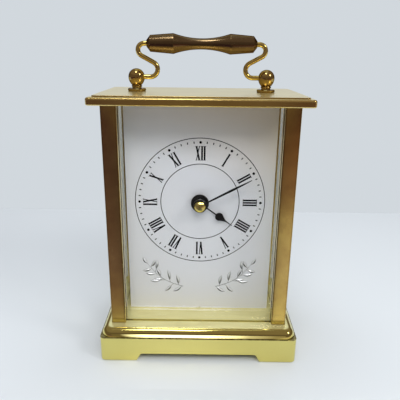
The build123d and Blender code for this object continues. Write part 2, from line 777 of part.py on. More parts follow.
def make_minute_hand():
    """Slender hand that widens to two thirds of its length and then draws in to a point."""
    y = spread((minute_hub_back + minute_hub_front) / 2, hand_thickness / 2)
    half = [(minute_stem / 2, 0), (minute_width / 2, minute_widest), (minute_stem / 4, minute_length)]
    points = half + [(-x, z) for x, z in reversed(half)]
    hub_y = (minute_hub_front, minute_hub_back)
    hub = along_y(0, 0, minute_hub_radius, hub_y)
    hub = chamfer(hub.faces().sort_by(Axis.Y)[0].edges(), minute_hub_height / 4)
    bore = along_y(0, 0, minute_thread_radius + thread_clearance, grown(hub_y, 1))
    return placed_hand(plate(outline(points), y) + hub - bore, minute_hand_angle)


def make_cap_nut():
    """Domed brass nut on the end of the cannon pipe, over the minute hand."""
    profile = Polyline((0, cap_height), (0, 0), (cap_radius, 0), (cap_radius, cap_rim))
    profile += TangentArc((0, cap_height), (cap_radius, cap_rim), tangent=(1, 0))
    nut = Pos(0, minute_hub_front, dial_centre_height) * Rot(90, 0, 0) * turned(profile)
    thread = (minute_hub_front - cap_height / 2 - thread_clearance, minute_hub_front + 1)
    return nut - along_y(0, dial_centre_height, minute_thread_radius + thread_clearance, thread)


# ------------------------------------------------------------------ going train
def make_centre_wheel():
    """Centre wheel, once an hour. Its stub runs inside the cannon pinion, its hub in the mid plate."""
    body = gear(centre_axis, centre_teeth, centre_module, wheel_tooth, centre_phase, centre_level)
    body += spindle(centre_axis, centre_stub_radius, (0, centre_level[0]))
    body += spindle(centre_axis, hub_radius, (centre_level[0], plate_back - pivot_end_gap))
    return bored(body, centre_axis, pivot_radius + running, (plate_back - pivot_depth, plate_back + 1))


def make_third_wheel():
    axis = third_axis
    body = gear(axis, third_teeth, third_module, wheel_tooth, third_phase, third_level)
    pinion_level = grown(centre_level, pinion_spare)
    body += gear(axis, third_pinion_teeth, centre_module, pinion_tooth, third_pinion_phase, pinion_level)
    body += spindle(axis, hub_radius, (pinion_level[1], third_level[0]))
    body += spindle(axis, arbor_radius, (third_level[1], arbor_end))
    return body + spindle(axis, pivot_radius, (arbor_end, rear_pivot_end))


def make_second_wheel():
    axis = centre_axis
    body = gear(axis, second_teeth, second_module, wheel_tooth, second_phase, second_level)
    pinion_level = grown(third_level, pinion_spare)
    body += gear(axis, second_pinion_teeth, third_module, pinion_tooth, second_pinion_phase, pinion_level)
    body += spindle(axis, arbor_radius, (pinion_level[1], arbor_end))
    return body + spindle(axis, pivot_radius, train_pivots)


def make_intermediate_wheel():
    axis = intermediate_axis
    body = gear(axis, intermediate_teeth, rotor_module, wheel_tooth, intermediate_phase, intermediate_level)
    body += gear(axis, intermediate_pinion_teeth, second_module, pinion_tooth, intermediate_pinion_phase,
                 (second_level[0] - pinion_spare, intermediate_level[0]))
    return body + spindle(axis, arbor_radius, train_arbor) + spindle(axis, pivot_radius, train_pivots)


def make_rotor_pinion():
    """Plastic rotor: the hub that carries the magnet, and the twelve-leaf pinion."""
    axis = rotor_axis
    level = grown(intermediate_level, pinion_spare)
    body = gear(axis, rotor_teeth, rotor_module, pinion_tooth, rotor_phase, level)
    body += spindle(axis, rotor_hub_radius, (magnet_level[0] - magnet_hub_spare, level[0]))
    return body + spindle(axis, arbor_radius, train_arbor) + spindle(axis, pivot_radius, train_pivots)


def make_rotor_magnet():
    ring = spindle(rotor_axis, magnet_radius, magnet_level)
    return bored(ring, rotor_axis, rotor_hub_radius + thread_clearance, grown(magnet_level, 1))


# ------------------------------------------------------------------ the movement's frame and drive
battery_z = dial_centre_height - wall_inside + battery_clearance + battery_radius
battery_depth = module_front_wall + battery_clearance + battery_radius
partition_z = (battery_z + battery_radius + battery_clearance,
               battery_z + battery_radius + battery_clearance + partition_thickness)
coil_z = dial_centre_height + wall_inside - coil_wall_gap - bobbin_flange_radius
core_level = (stator_level[1], stator_level[1] + core_thickness)
core_depth = (core_level[0] + core_level[1]) / 2
core_half = coil_half + stator_gap + stator_leg
stator_screws_x = [coil_x + side * (core_half - stator_leg / 2) for side in (-1, 1)]
board_x = (wall_inside - board_wall_gap - board_width, wall_inside - board_wall_gap)
board_z = (board_low, wall_inside - board_wall_gap - module_corner / 2)
board_level = (plate_back + board_post_height, plate_back + board_post_height + board_thickness)
board_middle = (board_x[0] + board_x[1]) / 2
corner_post = wall_inside - corner_post_inset
corner_posts = [(x, dial_centre_height + z)
                for x in (-corner_post, corner_post) for z in (lower_posts, corner_post)]


def make_movement_front_case():
    """Moulded front case: threaded bush, four posts for the mid plate, and the open battery bay below."""
    square = Pos(0, dial_centre_height) * RectangleRounded(module_size, module_size, module_corner)
    case = plate(square, inside((0, case_back)))
    chamber = (partition_z[1], dial_centre_height + wall_inside)
    bay = (dial_centre_height - wall_inside, partition_z[0])
    for z in (chamber, bay):
        case -= block(spread(0, wall_inside), inside((module_front_wall, module_depth)), z)
    for x, z in corner_posts:
        case += spindle((x, z), stator_post_radius, (module_front_wall, plate_front))
    case += along_y(0, dial_centre_height, bush_radius, (bush_front, module_front))
    bush_bore = (bush_front - 1, module_front + module_front_wall + 1)
    case -= along_y(0, dial_centre_height, hour_pipe_radius + running, bush_bore)
    for axis in (motion_axis, setting_axis):
        case = bored(case, axis, centre_stub_radius, (front_pivot_floor, module_front_wall + 1))
    return case


def make_movement_mid_plate():
    """Mid plate between the motion work and the going train, with posts for the stator and the board."""
    z = (partition_z[1] + hole_clearance, dial_centre_height + wall_inside - hole_clearance)
    body = block(spread(0, wall_inside - hole_clearance), inside(mid_plate_level), z)
    for x in stator_screws_x:
        body += spindle((x, coil_z), stator_post_radius, (plate_back, stator_level[0]))
        body = bored(body, (x, coil_z), stator_screw_radius + thread_clearance,
                     (plate_front + stator_screw_floor, stator_level[1]))
    for z in board_z:
        post = (board_middle, dial_centre_height + z - math.copysign(board_post_inset, z))
        body += spindle(post, board_post_radius, (plate_back, plate_back + board_post_height))
    for axis in (centre_axis, third_axis):
        body = bored(body, axis, hub_radius + running, grown(mid_plate_level, 1))
    body = bored(body, setting_axis, setting_arbor_radius + running, grown(mid_plate_level, 1))
    for axis in (intermediate_axis, rotor_axis):
        body = bored(body, axis, pivot_radius + running, (plate_back - pivot_depth, plate_back + 1))
    return bored(body, motion_axis, centre_stub_radius, (plate_front - 1, plate_front + pivot_depth))


def make_movement_rear_cover():
    """Lid over the train, with a boss for each rear pivot and a hole for the setting arbor."""
    height = (partition_z[0], dial_centre_height + module_size / 2)
    middle = (height[0] + height[1]) / 2
    face = Pos(0, middle) * Rectangle(module_size, height[1] - height[0])
    top = [v for v in face.vertices() if v.Y > middle]
    lid = plate(fillet(top, module_corner), inside((case_back, module_depth)))
    for axis in (centre_axis, third_axis, intermediate_axis, rotor_axis):
        lid += spindle(axis, cover_boss_radius, (cover_boss_front, case_back))
    for axis in (centre_axis, third_axis, intermediate_axis, rotor_axis):
        lid = bored(lid, axis, pivot_radius + running, (cover_boss_front - 1, case_back - layer_gap))
    return bored(lid, setting_axis, setting_arbor_radius + running, (case_back - 1, module_depth + 1))


def make_stator():
    """Soft iron plate round the rotor, with two legs up to the coil core and two flux gaps."""
    low = dial_centre_height + stator_low
    high = dial_centre_height + stator_high
    top = coil_z + core_width / 2
    level = inside(stator_level)
    left = coil_x - core_half
    right = coil_x + core_half
    body = block((left, right), level, (low, high))
    for x in ((left, left + stator_leg), (right - stator_leg, right)):
        body += block(x, level, (high, top))
    body = bored(body, rotor_axis, magnet_radius + magnet_gap, grown(stator_level, 1))
    for side in (-1, 1):
        notch = axis_from(rotor_axis, side * (magnet_radius + magnet_gap), stator_notch_bearing)
        body = bored(body, notch, magnet_gap, grown(stator_level, 1))
    for x in stator_screws_x:
        body = bored(body, (x, coil_z), stator_screw_radius + hole_clearance / 2, grown(stator_level, 1))
    return body


def make_coil_core():
    body = block(spread(coil_x, core_half), inside(core_level), spread(coil_z, core_width / 2))
    for x in stator_screws_x:
        body = bored(body, (x, coil_z), stator_screw_radius + hole_clearance / 2, grown(core_level, 1))
    return body


def make_stator_screws():
    screws = []
    for x in stator_screws_x:
        shank = spindle((x, coil_z), stator_screw_radius,
                        (plate_front + stator_screw_floor + pivot_end_gap, core_level[1]))
        head = spindle((x, coil_z), stator_screw_head, (core_level[1], core_level[1] + stator_screw_height))
        screws.append(shank + head)
    return all_of(screws)


def make_coil_bobbin():
    y = module_front + core_depth
    body = along_x(y, coil_z, bobbin_radius, spread(coil_x, coil_half))
    for side in (-1, 1):
        end = coil_x + side * (coil_half - bobbin_flange / 2)
        body += along_x(y, coil_z, bobbin_flange_radius, spread(end, bobbin_flange / 2))
    slot = block(spread(coil_x, coil_half + 1), grown(inside(core_level), running),
                 spread(coil_z, core_width / 2 + running))
    return body - slot


def make_coil_winding():
    y = module_front + core_depth
    reach = spread(coil_x, coil_half - bobbin_flange - running)
    bore = along_x(y, coil_z, bobbin_radius + thread_clearance, grown(reach, 1))
    return along_x(y, coil_z, coil_radius, reach) - bore


def make_circuit_board():
    return block(board_x, inside(board_level), [dial_centre_height + z for z in board_z])


def make_quartz_crystal():
    """Small can of the tuning-fork crystal, lying on the board."""
    y = module_front + board_level[1] + crystal_radius
    middle = dial_centre_height + (board_z[0] + board_z[1]) / 2 + crystal_length
    can = upright(board_middle, y, crystal_radius, spread(middle, crystal_length / 2))
    return chamfer(can.faces().sort_by(Axis.Z)[-1].edges(), crystal_radius / 4)


def make_circuit_chip():
    """Drop of black resin over the bare chip."""
    place = (board_middle, dial_centre_height + board_z[0] + 2 * chip_radius)
    drop = spindle(place, chip_radius, (board_level[1], board_level[1] + chip_height))
    return chamfer(drop.faces().sort_by(Axis.Y)[-1].edges(), chip_height / 2, chip_height)


def make_battery():
    """AA cell, lying across the bay with its cap to the right."""
    y = module_front + battery_depth
    shoulder = battery_length / 2 - battery_cap_length
    cell = along_x(y, battery_z, battery_radius, (-battery_length / 2, shoulder))
    cell = chamfer(cell.edges().filter_by(GeomType.CIRCLE), battery_end_ease)
    return cell + along_x(y, battery_z, battery_cap_radius, (shoulder, battery_length / 2))


def make_battery_contact(side):
    """Sheet contact on the end wall of the bay, with a dimple that touches the cell."""
    y = module_front + battery_depth
    sheet = (wall_inside - contact_thickness, wall_inside)
    strip = block(sheet, spread(y, contact_width / 2), spread(battery_z, contact_width / 2))
    strip += along_x(y, battery_z, contact_dimple_radius, (sheet[0] - contact_dimple + running, sheet[0]))
    return strip if side > 0 else mirrored_x(strip)


# ------------------------------------------------------------------ the rear door
def door_y():
    """Range of Y that the door sheet fills when shut."""
    return (outer_y - door_face_setback - door_thickness, outer_y - door_face_setback)


def door_axis():
    """X and Y of the door's two pins."""
    return (inner_x - door_gap - door_pin_inset, sum(door_y()) / 2)


def door_stop_place():
    """X and Y of the pin that the shut door rests against."""
    return (-inner_x + door_knob_inset, door_y()[0] - door_stop_radius)


def make_rear_door():
    width = spread(0, inner_x - door_gap)
    height = (floor + door_gap, ceiling - door_gap)
    sheet = block(width, door_y(), height)
    sheet = fillet(sheet.edges().filter_by(Axis.Z), door_thickness / 4)
    sheet += upright(*door_axis(), door_knuckle_radius, height)
    for z in height:
        sheet -= upright(*door_axis(), door_pin_radius, spread(z, door_pin_grip))
    return sheet - along_y(*door_knob_place(), door_knob_neck_radius + thread_clearance, grown(door_y(), 1))


def door_knob_place():
    """X and Z of the door's knob."""
    return (-inner_x + door_gap + door_knob_inset, (floor + ceiling) / 2)


def make_door_pins():
    """Two steel pivot pins, one in the base and one in the top plate."""
    low = (floor - door_pin_reach, floor + door_gap + door_pin_grip)
    high = (ceiling - door_gap - door_pin_grip, ceiling + door_pin_reach)
    return all_of([upright(*door_axis(), door_pin_radius, z) for z in (low, high)])


def make_door_knob():
    """Small turned knob, riveted through the door sheet."""
    x, z = door_knob_place()
    ball = door_knob_length - door_knob_radius
    neck = ball - math.sqrt(door_knob_radius ** 2 - door_knob_neck_radius ** 2)
    rivet = -door_thickness - door_rivet_height
    profile = Polyline((0, door_knob_length), (0, rivet), (door_rivet_radius, rivet),
                       (door_rivet_radius, -door_thickness), (door_knob_neck_radius, -door_thickness),
                       (door_knob_neck_radius, 0), (door_knob_foot_radius, 0),
                       (door_knob_foot_radius, door_knob_foot_height),
                       (door_knob_neck_radius, door_knob_foot_height), (door_knob_neck_radius, neck))
    profile += ThreePointArc((door_knob_neck_radius, neck), (door_knob_radius, ball), (0, door_knob_length))
    return Pos(x, door_y()[1], z) * Rot(-90, 0, 0) * turned(profile)


def make_door_stop():
    return upright(*door_stop_place(), door_stop_radius - thread_clearance,
                   (floor - door_stop_depth, floor + door_stop_height))


# ------------------------------------------------------------------ every part, by name
parts = {
    "base": make_base(),
    "pillar_front_left": make_pillar(-1, -1),
    "pillar_front_right": make_pillar(1, -1),
    "pillar_rear_left": make_pillar(-1, 1),
    "pillar_rear_right": make_pillar(1, 1),
    "top_plate": make_top_plate(),
    "tie_screws": make_tie_screws(),
    "front_glass": make_front_glass(),
    "left_glass": make_side_glass(-1),
    "right_glass": make_side_glass(1),
    "ball_post_left": make_ball_post(-1),
    "ball_post_right": make_ball_post(1),
    "post_washers": make_post_washers(),
    "post_nuts": make_post_nuts(),
    "handle_arm_left": make_handle_arm(-1),
    "handle_arm_right": make_handle_arm(1),
    "handle_grip": make_handle_grip(),
    "dial_plate": make_dial_plate(),
    "dial_screw": make_dial_screw(),
    "dial_nut": make_dial_nut(),
    "rubber_washer": make_rubber_washer(),
    "hour_hand": make_hour_hand(),
    "minute_hand": make_minute_hand(),
    "cap_nut": make_cap_nut(),
    "hour_wheel": make_hour_wheel(),
    "cannon_pinion": make_cannon_pinion(),
    "minute_wheel": make_minute_wheel(),
    "setting_arbor": make_setting_arbor(),
    "setting_knob": make_setting_knob(),
    "centre_wheel": make_centre_wheel(),
    "third_wheel": make_third_wheel(),
    "second_wheel": make_second_wheel(),
    "intermediate_wheel": make_intermediate_wheel(),
    "rotor_pinion": make_rotor_pinion(),
    "rotor_magnet": make_rotor_magnet(),
    "movement_front_case": make_movement_front_case(),
    "movement_mid_plate": make_movement_mid_plate(),
    "movement_rear_cover": make_movement_rear_cover(),
    "stator": make_stator(),
    "coil_core": make_coil_core(),
    "stator_screws": make_stator_screws(),
    "coil_bobbin": make_coil_bobbin(),
    "coil_winding": make_coil_winding(),
    "circuit_board": make_circuit_board(),
    "quartz_crystal": make_quartz_crystal(),
    "circuit_chip": make_circuit_chip(),
    "battery": make_battery(),
    "battery_contact_plus": make_battery_contact(1),
    "battery_contact_minus": make_battery_contact(-1),
    "rear_door": make_rear_door(),
    "door_pins": make_door_pins(),
    "door_knob": make_door_knob(),
    "door_stop": make_door_stop(),
}

os.makedirs("parts", exist_ok=True)
for name, shape in parts.items():
    export_step(shape, f"parts/{name}.step")
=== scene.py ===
import math

import bmesh
import bpy
from mathutils import Matrix, Vector


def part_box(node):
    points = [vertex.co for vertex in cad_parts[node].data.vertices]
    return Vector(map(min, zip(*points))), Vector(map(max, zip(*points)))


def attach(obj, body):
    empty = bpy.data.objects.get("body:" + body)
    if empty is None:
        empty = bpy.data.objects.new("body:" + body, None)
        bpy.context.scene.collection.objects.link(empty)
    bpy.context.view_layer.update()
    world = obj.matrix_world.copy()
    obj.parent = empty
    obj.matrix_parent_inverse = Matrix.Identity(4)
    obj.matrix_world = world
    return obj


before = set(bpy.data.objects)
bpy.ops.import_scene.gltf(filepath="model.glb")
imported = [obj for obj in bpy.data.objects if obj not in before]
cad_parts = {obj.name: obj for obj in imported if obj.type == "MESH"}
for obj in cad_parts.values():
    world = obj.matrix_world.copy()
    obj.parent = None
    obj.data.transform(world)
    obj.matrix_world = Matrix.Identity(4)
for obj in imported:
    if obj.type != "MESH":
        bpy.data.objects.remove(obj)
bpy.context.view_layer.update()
mm = 0.001


# ---------------------------------------------------------------- camera
# A camera on a stand in front of the clock, a little above the handle, looking down at the dial.
# Its lens is a normal one, close enough for the top plate to show.

camera_place = Vector((0.40, -195.6, 131.4)) * mm
camera_pitch = math.radians(18.06)      # below the horizontal
camera_yaw = math.radians(-0.12)        # towards +X
camera_roll = math.radians(0.68)
camera_lens = 39.74
camera_near = 5 * mm


def new_object(name, data):
    thing = bpy.data.objects.new(name, data)
    bpy.context.scene.collection.objects.link(thing)
    return thing


def make_camera():
    camera = new_object("camera", bpy.data.cameras.new("camera"))
    forward = Vector((math.sin(camera_yaw) * math.cos(camera_pitch),
                      math.cos(camera_yaw) * math.cos(camera_pitch),
                      -math.sin(camera_pitch)))
    level = Vector((math.cos(camera_yaw), -math.sin(camera_yaw), 0))
    upright = level.cross(forward)
    right = level * math.cos(camera_roll) + upright * math.sin(camera_roll)
    up = right.cross(forward)
    turn = Matrix((right, up, -forward)).transposed().to_4x4()
    camera.matrix_world = Matrix.Translation(camera_place) @ turn
    camera.data.lens = camera_lens
    camera.data.clip_start = camera_near
    bpy.context.scene.camera = camera
    bpy.context.scene.view_settings.view_transform = "Standard"


make_camera()


# ---------------------------------------------------------------- table, backdrop and lights
# A pale table top that runs on to a pale backdrop, in a softly lit room.
# Cards round the clock, seen only in its brass, stand for the room's walls, the table and a low window.

table_reach = 3.0
table_colour = (0.71, 0.755, 0.80)
table_roughness = 0.6
table_gloss = 0.2
backdrop_colour = (0.64, 0.685, 0.725)
backdrop_start = 176 * mm               # how far behind the clock's middle the backdrop begins
room_light = (0.93, 0.96, 1.0)
room_level = 0.30

lit_point = (0, 0, 60 * mm)             # where the softboxes and lamps are aimed
warm_white = (1, 0.985, 0.965)
cool_white = (0.97, 0.985, 1)
lamp_white = (1, 0.98, 0.94)
# Name, place, size, power in watts, colour, and whether the brass shows it.
softboxes = (("key_softbox", (0.06, -0.58, 0.64), (0.55, 0.26), 3.1, warm_white, False),
             ("side_softbox", (0.51, -0.40, 0.53), (0.25, 0.25), 0.9, warm_white, False),
             ("overhead_softbox", (-0.05, 0.16, 0.85), (0.7, 0.5), 2.9, cool_white, False),
             ("left_lamp", (-0.06, -0.22, 0.70), (0.15, 0.15), 0.5, lamp_white, True),
             ("right_lamp", (0.44, -0.26, 0.46), (0.15, 0.15), 0.5, lamp_white, True))

room_reach = 1.6                        # how far off the room's cards stand
room_bearings = (-150, 150)             # degrees from the front, towards +X
room_steps = 12
# Name, heights in degrees above the level, and colour.
room_cards = (("dark_room", (0, 12, 30), (0.15, 0.115, 0.095)),
              ("upper_room", (30, 60, 80), (0.24, 0.19, 0.16)))

pillar_front = 22 * mm                  # how far the pillars' front faces stand before the clock's middle
eye_to_pillar = -camera_place.y - pillar_front
pane_half = 33 * mm                     # from the clock's middle to the pillars
card_height = 0.3 * mm                  # above the table
card_start = -46 * mm
# Name, side, and shades by the height in millimetres at which a pillar shows them.
table_cards = (
    ("table_left", -1, ((15, (0.45, 0.38, 0.26)), (18, (0.37, 0.30, 0.19)), (25, (0.26, 0.18, 0.16)),
                        (43, (0.175, 0.115, 0.14)), (66, (0.12, 0.070, 0.085)), (85, (0.088, 0.048, 0.062)),
                        (97, (0.072, 0.034, 0.055)), (110, (0.056, 0.024, 0.040)))),
    ("table_right", 1, ((15, (0.90, 0.83, 0.58)), (25, (0.62, 0.53, 0.42)), (43, (0.57, 0.48, 0.45)),
                        (65, (0.54, 0.44, 0.36)), (75, (0.27, 0.165, 0.14)), (86, (0.24, 0.13, 0.11)),
                        (97, (0.21, 0.10, 0.07)), (108, (0.042, 0.012, 0.020)))),
    ("table_middle", 0, ((15, (0.05, 0.045, 0.045)), (100, (0.06, 0.05, 0.045)), (110, (0.21, 0.15, 0.09)))))

window_half = 40 * mm
window_near = (-32.7 * mm, 14.27 * mm)  # Y and Z of the low window's upper edge
window_far = (-53.5 * mm, 0.4 * mm)
# Shades across the low window, each from an X.
window_shades = ((-36 * mm, (0.2, 0.16, 0.12)), (-25 * mm, (3.6, 3.6, 5.0)), (6 * mm, (3.6, 3.6, 5.0)),
                 (24 * mm, (0.9, 0.85, 1.0)), (36 * mm, (0.4, 0.34, 0.3)))


def plug(tree, socket, value):
    """Links a socket to another node's output, or sets its value. A colour is red, green and blue."""
    if isinstance(value, bpy.types.NodeSocket):
        tree.links.new(value, socket)
    elif socket.type == "RGBA":
        socket.default_value = (*value, 1)
    else:
        socket.default_value = value


def add(tree, kind, settings=None, **sockets):
    """A shader node with its settings, and its sockets by name."""
    node = tree.nodes.new("ShaderNode" + kind)
    for name, value in (settings or {}).items():
        setattr(node, name, value)
    for label, value in sockets.items():
        plug(tree, node.inputs[label.replace("_", " ")], value)
    return node


def math_node(tree, operation, *values, clamp=False):
    node = add(tree, "Math", {"operation": operation, "use_clamp": clamp})
    for socket, value in zip(node.inputs, values):
        plug(tree, socket, value)
    return node.outputs[0]


def mix_shaders(tree, share, first, second):
    """The first shader where the share is 0, and the second where it is 1."""
    node = add(tree, "MixShader", Fac=share)
    plug(tree, node.inputs[1], first.outputs[0])
    plug(tree, node.inputs[2], second.outputs[0])
    return node.outputs[0]


def object_place(tree):
    """Where a point lies on its own object, in metres."""
    return add(tree, "TexCoord").outputs["Object"]


def axes(tree, vector):
    """A vector's X, Y and Z."""
    return add(tree, "SeparateXYZ", Vector=vector).outputs


def seen_directly(tree):
    """1 for camera, glossy and transmitted rays, and 0 for the rays that light the clock."""
    path = add(tree, "LightPath").outputs
    seen = math_node(tree, "MAXIMUM", path["Is Camera Ray"], path["Is Glossy Ray"])
    return math_node(tree, "MAXIMUM", seen, path["Is Transmission Ray"])


def new_material(name, **constants):
    """A material and its principled shader, with the values that are the same all over."""
    material = bpy.data.materials.new(name)
    material.use_nodes = True
    tree = material.node_tree
    shader = tree.nodes["Principled BSDF"]
    for label, value in constants.items():
        plug(tree, shader.inputs[label.replace("_", " ")], value)
    return material, tree, shader.inputs


def show_instead(tree, share, other):
    """Lets another shader take the principled one's place where the share is 1."""
    mixed = mix_shaders(tree, share, tree.nodes["Principled BSDF"], other)
    plug(tree, tree.nodes["Material Output"].inputs["Surface"], mixed)


def sheet_mesh(name, points, faces):
    mesh = bpy.data.meshes.new(name)
    mesh.from_pydata(points, [], faces)
    return mesh


def make_room():
    world = bpy.data.worlds.new("room")
    bpy.context.scene.world = world
    world.use_nodes = True
    tree = world.node_tree
    tree.nodes.clear()
    light = add(tree, "Background", Color=room_light, Strength=room_level)
    behind = add(tree, "Background", Color=backdrop_colour, Strength=1)
    add(tree, "OutputWorld", Surface=mix_shaders(tree, seen_directly(tree), light, behind))


def make_table():
    reach = table_reach
    corners = [(-reach, -reach, 0), (reach, -reach, 0), (reach, reach, 0), (-reach, reach, 0)]
    table = new_object("table", sheet_mesh("table", corners, [(0, 1, 2, 3)]))
    material, tree, shader = new_material("pale_table", Base_Color=table_colour, Roughness=table_roughness,
                                          Specular_IOR_Level=table_gloss)
    start = math_node(tree, "GREATER_THAN", axes(tree, object_place(tree))["Y"], backdrop_start)
    far = math_node(tree, "MULTIPLY", start, seen_directly(tree))
    show_instead(tree, far, add(tree, "Emission", Color=backdrop_colour, Strength=1))
    table.data.materials.append(material)


def make_softbox(name, place, size, power, colour, shown):
    lamp = bpy.data.lights.new(name, "AREA")
    lamp.shape = "RECTANGLE"
    lamp.size, lamp.size_y = size
    lamp.energy = power
    lamp.color = colour
    softbox = new_object(name, lamp)
    softbox.location = place
    softbox.rotation_euler = (Vector(lit_point) - Vector(place)).to_track_quat("-Z", "Y").to_euler()
    softbox.visible_glossy = shown


def make_card(name, mesh, colour, one_sided=False):
    """A glowing card that is seen only by reflection. One sided, it is clear from the back of its faces."""
    card = new_object(name, mesh)
    material = bpy.data.materials.new(name)
    material.use_nodes = True
    tree = material.node_tree
    tree.nodes.clear()
    glow = add(tree, "Emission", Color=colour(tree) if callable(colour) else colour, Strength=1)
    shown = math_node(tree, "GREATER_THAN", add(tree, "LightPath").outputs["Glossy Depth"], 0.5)
    if one_sided:
        front = math_node(tree, "SUBTRACT", 1.0, add(tree, "NewGeometry").outputs["Backfacing"])
        shown = math_node(tree, "MULTIPLY", shown, front)
    clear = add(tree, "BsdfTransparent")
    add(tree, "OutputMaterial", Surface=mix_shaders(tree, shown, clear, glow))
    card.data.materials.append(material)
    for ray in ("camera", "diffuse", "shadow", "volume_scatter"):
        setattr(card, "visible_" + ray, False)


def wall_mesh(name, heights):
    """Part of a round wall about the clock, from one height above the level to the next."""
    first, last = room_bearings
    points = []
    for height in heights:
        for step in range(room_steps + 1):
            bearing = math.radians(first + (last - first) * step / room_steps)
            rise = math.radians(height)
            points.append((room_reach * math.sin(bearing) * math.cos(rise),
                           -room_reach * math.cos(bearing) * math.cos(rise),
                           room_reach * math.sin(rise)))
    faces = []
    for row in range(len(heights) - 1):
        for step in range(room_steps):
            low = row * (room_steps + 1) + step
            high = low + room_steps + 1
            faces.append((low, low + 1, high + 1, high))
    return sheet_mesh(name, points, faces)


def table_mesh(name, side):
    """The part of the table mirrored by the left pillars (-1), by the front pane (0) or by the right (1)."""
    def edge(y):
        return pane_half * (1 - (y + pillar_front) / eye_to_pillar)
    near, far = edge(card_start), edge(-room_reach)
    if side:
        corners = [(side * near, card_start), (side * room_reach, card_start),
                   (side * room_reach, -room_reach), (side * far, -room_reach)]
    else:
        corners = [(-near, card_start), (near, card_start), (far, -room_reach), (-far, -room_reach)]
    return sheet_mesh(name, [(x, y, card_height) for x, y in corners], [(0, 1, 2, 3)])


def window_mesh(name):
    """A card that falls away from the clock, as steeply as the eye's mirrored sight lines."""
    corners = [(-window_half, *window_near), (window_half, *window_near),
               (window_half, *window_far), (-window_half, *window_far)]
    return sheet_mesh(name, corners, [(0, 1, 2, 3)])


def ramp(tree, share, stops):
    """Colours between stops, each a position from 0 to 1 and a colour."""
    node = add(tree, "ValToRGB", Fac=share)
    bands = node.color_ramp.elements
    bands.remove(bands[1])
    bands[0].position = stops[0][0]
    bands[0].color = (*stops[0][1], 1)
    for position, colour in stops[1:]:
        band = bands.new(position)
        band.color = (*colour, 1)
    return node.outputs["Color"]


def table_colours(shades):
    """Shades of the table in front of the clock, by the height at which a pillar mirrors them."""
    def colour(tree):
        place = axes(tree, object_place(tree))["Y"]
        ahead = math_node(tree, "SUBTRACT", eye_to_pillar - pillar_front, place)
        height = math_node(tree, "SUBTRACT", 1.0, math_node(tree, "DIVIDE", eye_to_pillar, ahead))
        return ramp(tree, height, [(z * mm / camera_place.z, shade) for z, shade in shades])
    return colour


def colours_across(shades):
    """Shades across a card, each from an X."""
    first, last = shades[0][0], shades[-1][0]

    def colour(tree):
        place = axes(tree, object_place(tree))["X"]
        share = add(tree, "MapRange", Value=place, From_Min=first, From_Max=last).outputs[0]
        return ramp(tree, share, [((x - first) / (last - first), shade) for x, shade in shades])
    return colour


def make_lights():
    for softbox in softboxes:
        make_softbox(*softbox)
    for name, heights, colour in room_cards:
        make_card(name, wall_mesh(name, heights), colour)
    for name, side, shades in table_cards:
        make_card(name, table_mesh(name, side), table_colours(shades))
    make_card("low_window", window_mesh("low_window"), colours_across(window_shades), one_sided=True)


make_room()
make_table()
make_lights()


# ---------------------------------------------------------------- base
# The base is one brass casting on four bracket feet, with a quirk and a convex roll round its top.
# It is polished all over and lacquered, and its quirk is painted darker, as shade in the crease.

# Tarnish, which on the front pillars' rounded arrises also stands as a painted dark reflection.
tarnish_and_dark_reflection = (0.20, 0.12, 0.04)
# Pale dust, which also stands as a painted sheen on faces that look up.
dust_and_sheen_colour = (0.90, 0.85, 0.46)
# A dark colour painted in the quirk, as painted shade in the crease.
crease_shade_colour = (0.14, 0.105, 0.02)
quirk_heights = (11.68 * mm, 11.98 * mm)


def new_group(name, output, output_kind="Float", **inputs):
    """A shader node group with named sockets: its tree, its inputs and the socket of its one output.

    An input is a number, a vector of three or a colour of four, by the value it starts from.
    """
    tree = bpy.data.node_groups.new(name, "ShaderNodeTree")
    for label, value in inputs.items():
        kind = {3: "Vector", 4: "Color"}[len(value)] if isinstance(value, tuple) else "Float"
        socket = tree.interface.new_socket(name=label, in_out="INPUT", socket_type="NodeSocket" + kind)
        socket.default_value = value
    tree.interface.new_socket(name=output, in_out="OUTPUT", socket_type="NodeSocket" + output_kind)
    return tree, tree.nodes.new("NodeGroupInput").outputs, tree.nodes.new("NodeGroupOutput").inputs[0]


def use(tree, group, **sockets):
    """Places a node group in a material with its own values, and gives its one output."""
    node = tree.nodes.new("ShaderNodeGroup")
    node.node_tree = group
    for label, value in sockets.items():
        plug(tree, node.inputs[label.replace("_", " ")], value)
    return node.outputs[0]


def vector_node(tree, operation, *vectors):
    node = add(tree, "VectorMath", {"operation": operation})
    for socket, vector in zip(node.inputs, vectors):
        plug(tree, socket, vector)
    return node.outputs


def blend(tree, share, first, second, how="MIX"):
    """The first colour where the share is 0, going over to the second, or to both together, at 1."""
    return add(tree, "MixRGB", {"blend_type": how}, Fac=share, Color1=first, Color2=second).outputs[0]


def make_fine_lines():
    """Brushing, drawing or turning marks: noise stretched along the way the tool went."""
    tree, given, result = new_group("fine_lines", "Height", Pitch=(1, 1, 1), Fill=0.5)
    stretched = vector_node(tree, "MULTIPLY", object_place(tree), given["Pitch"])["Vector"]
    noise = add(tree, "TexNoise", Vector=stretched, Scale=1, Detail=3, Roughness=given["Fill"])
    plug(tree, result, noise.outputs["Fac"])
    return tree


def make_tint_drift():
    """A slow drift from one colour to another, as in lacquer that has aged unevenly."""
    tree, given, result = new_group("tint_drift", "Color", "Color", Fresh=(1, 1, 1, 1), Aged=(0, 0, 0, 1),
                                    Patches=60.0, Amount=0.5)
    noise = add(tree, "TexNoise", Vector=object_place(tree), Scale=given["Patches"], Detail=4, Roughness=0.55)
    share = math_node(tree, "MULTIPLY", noise.outputs["Fac"], given["Amount"], clamp=True)
    plug(tree, result, blend(tree, share, given["Fresh"], given["Aged"]))
    return tree


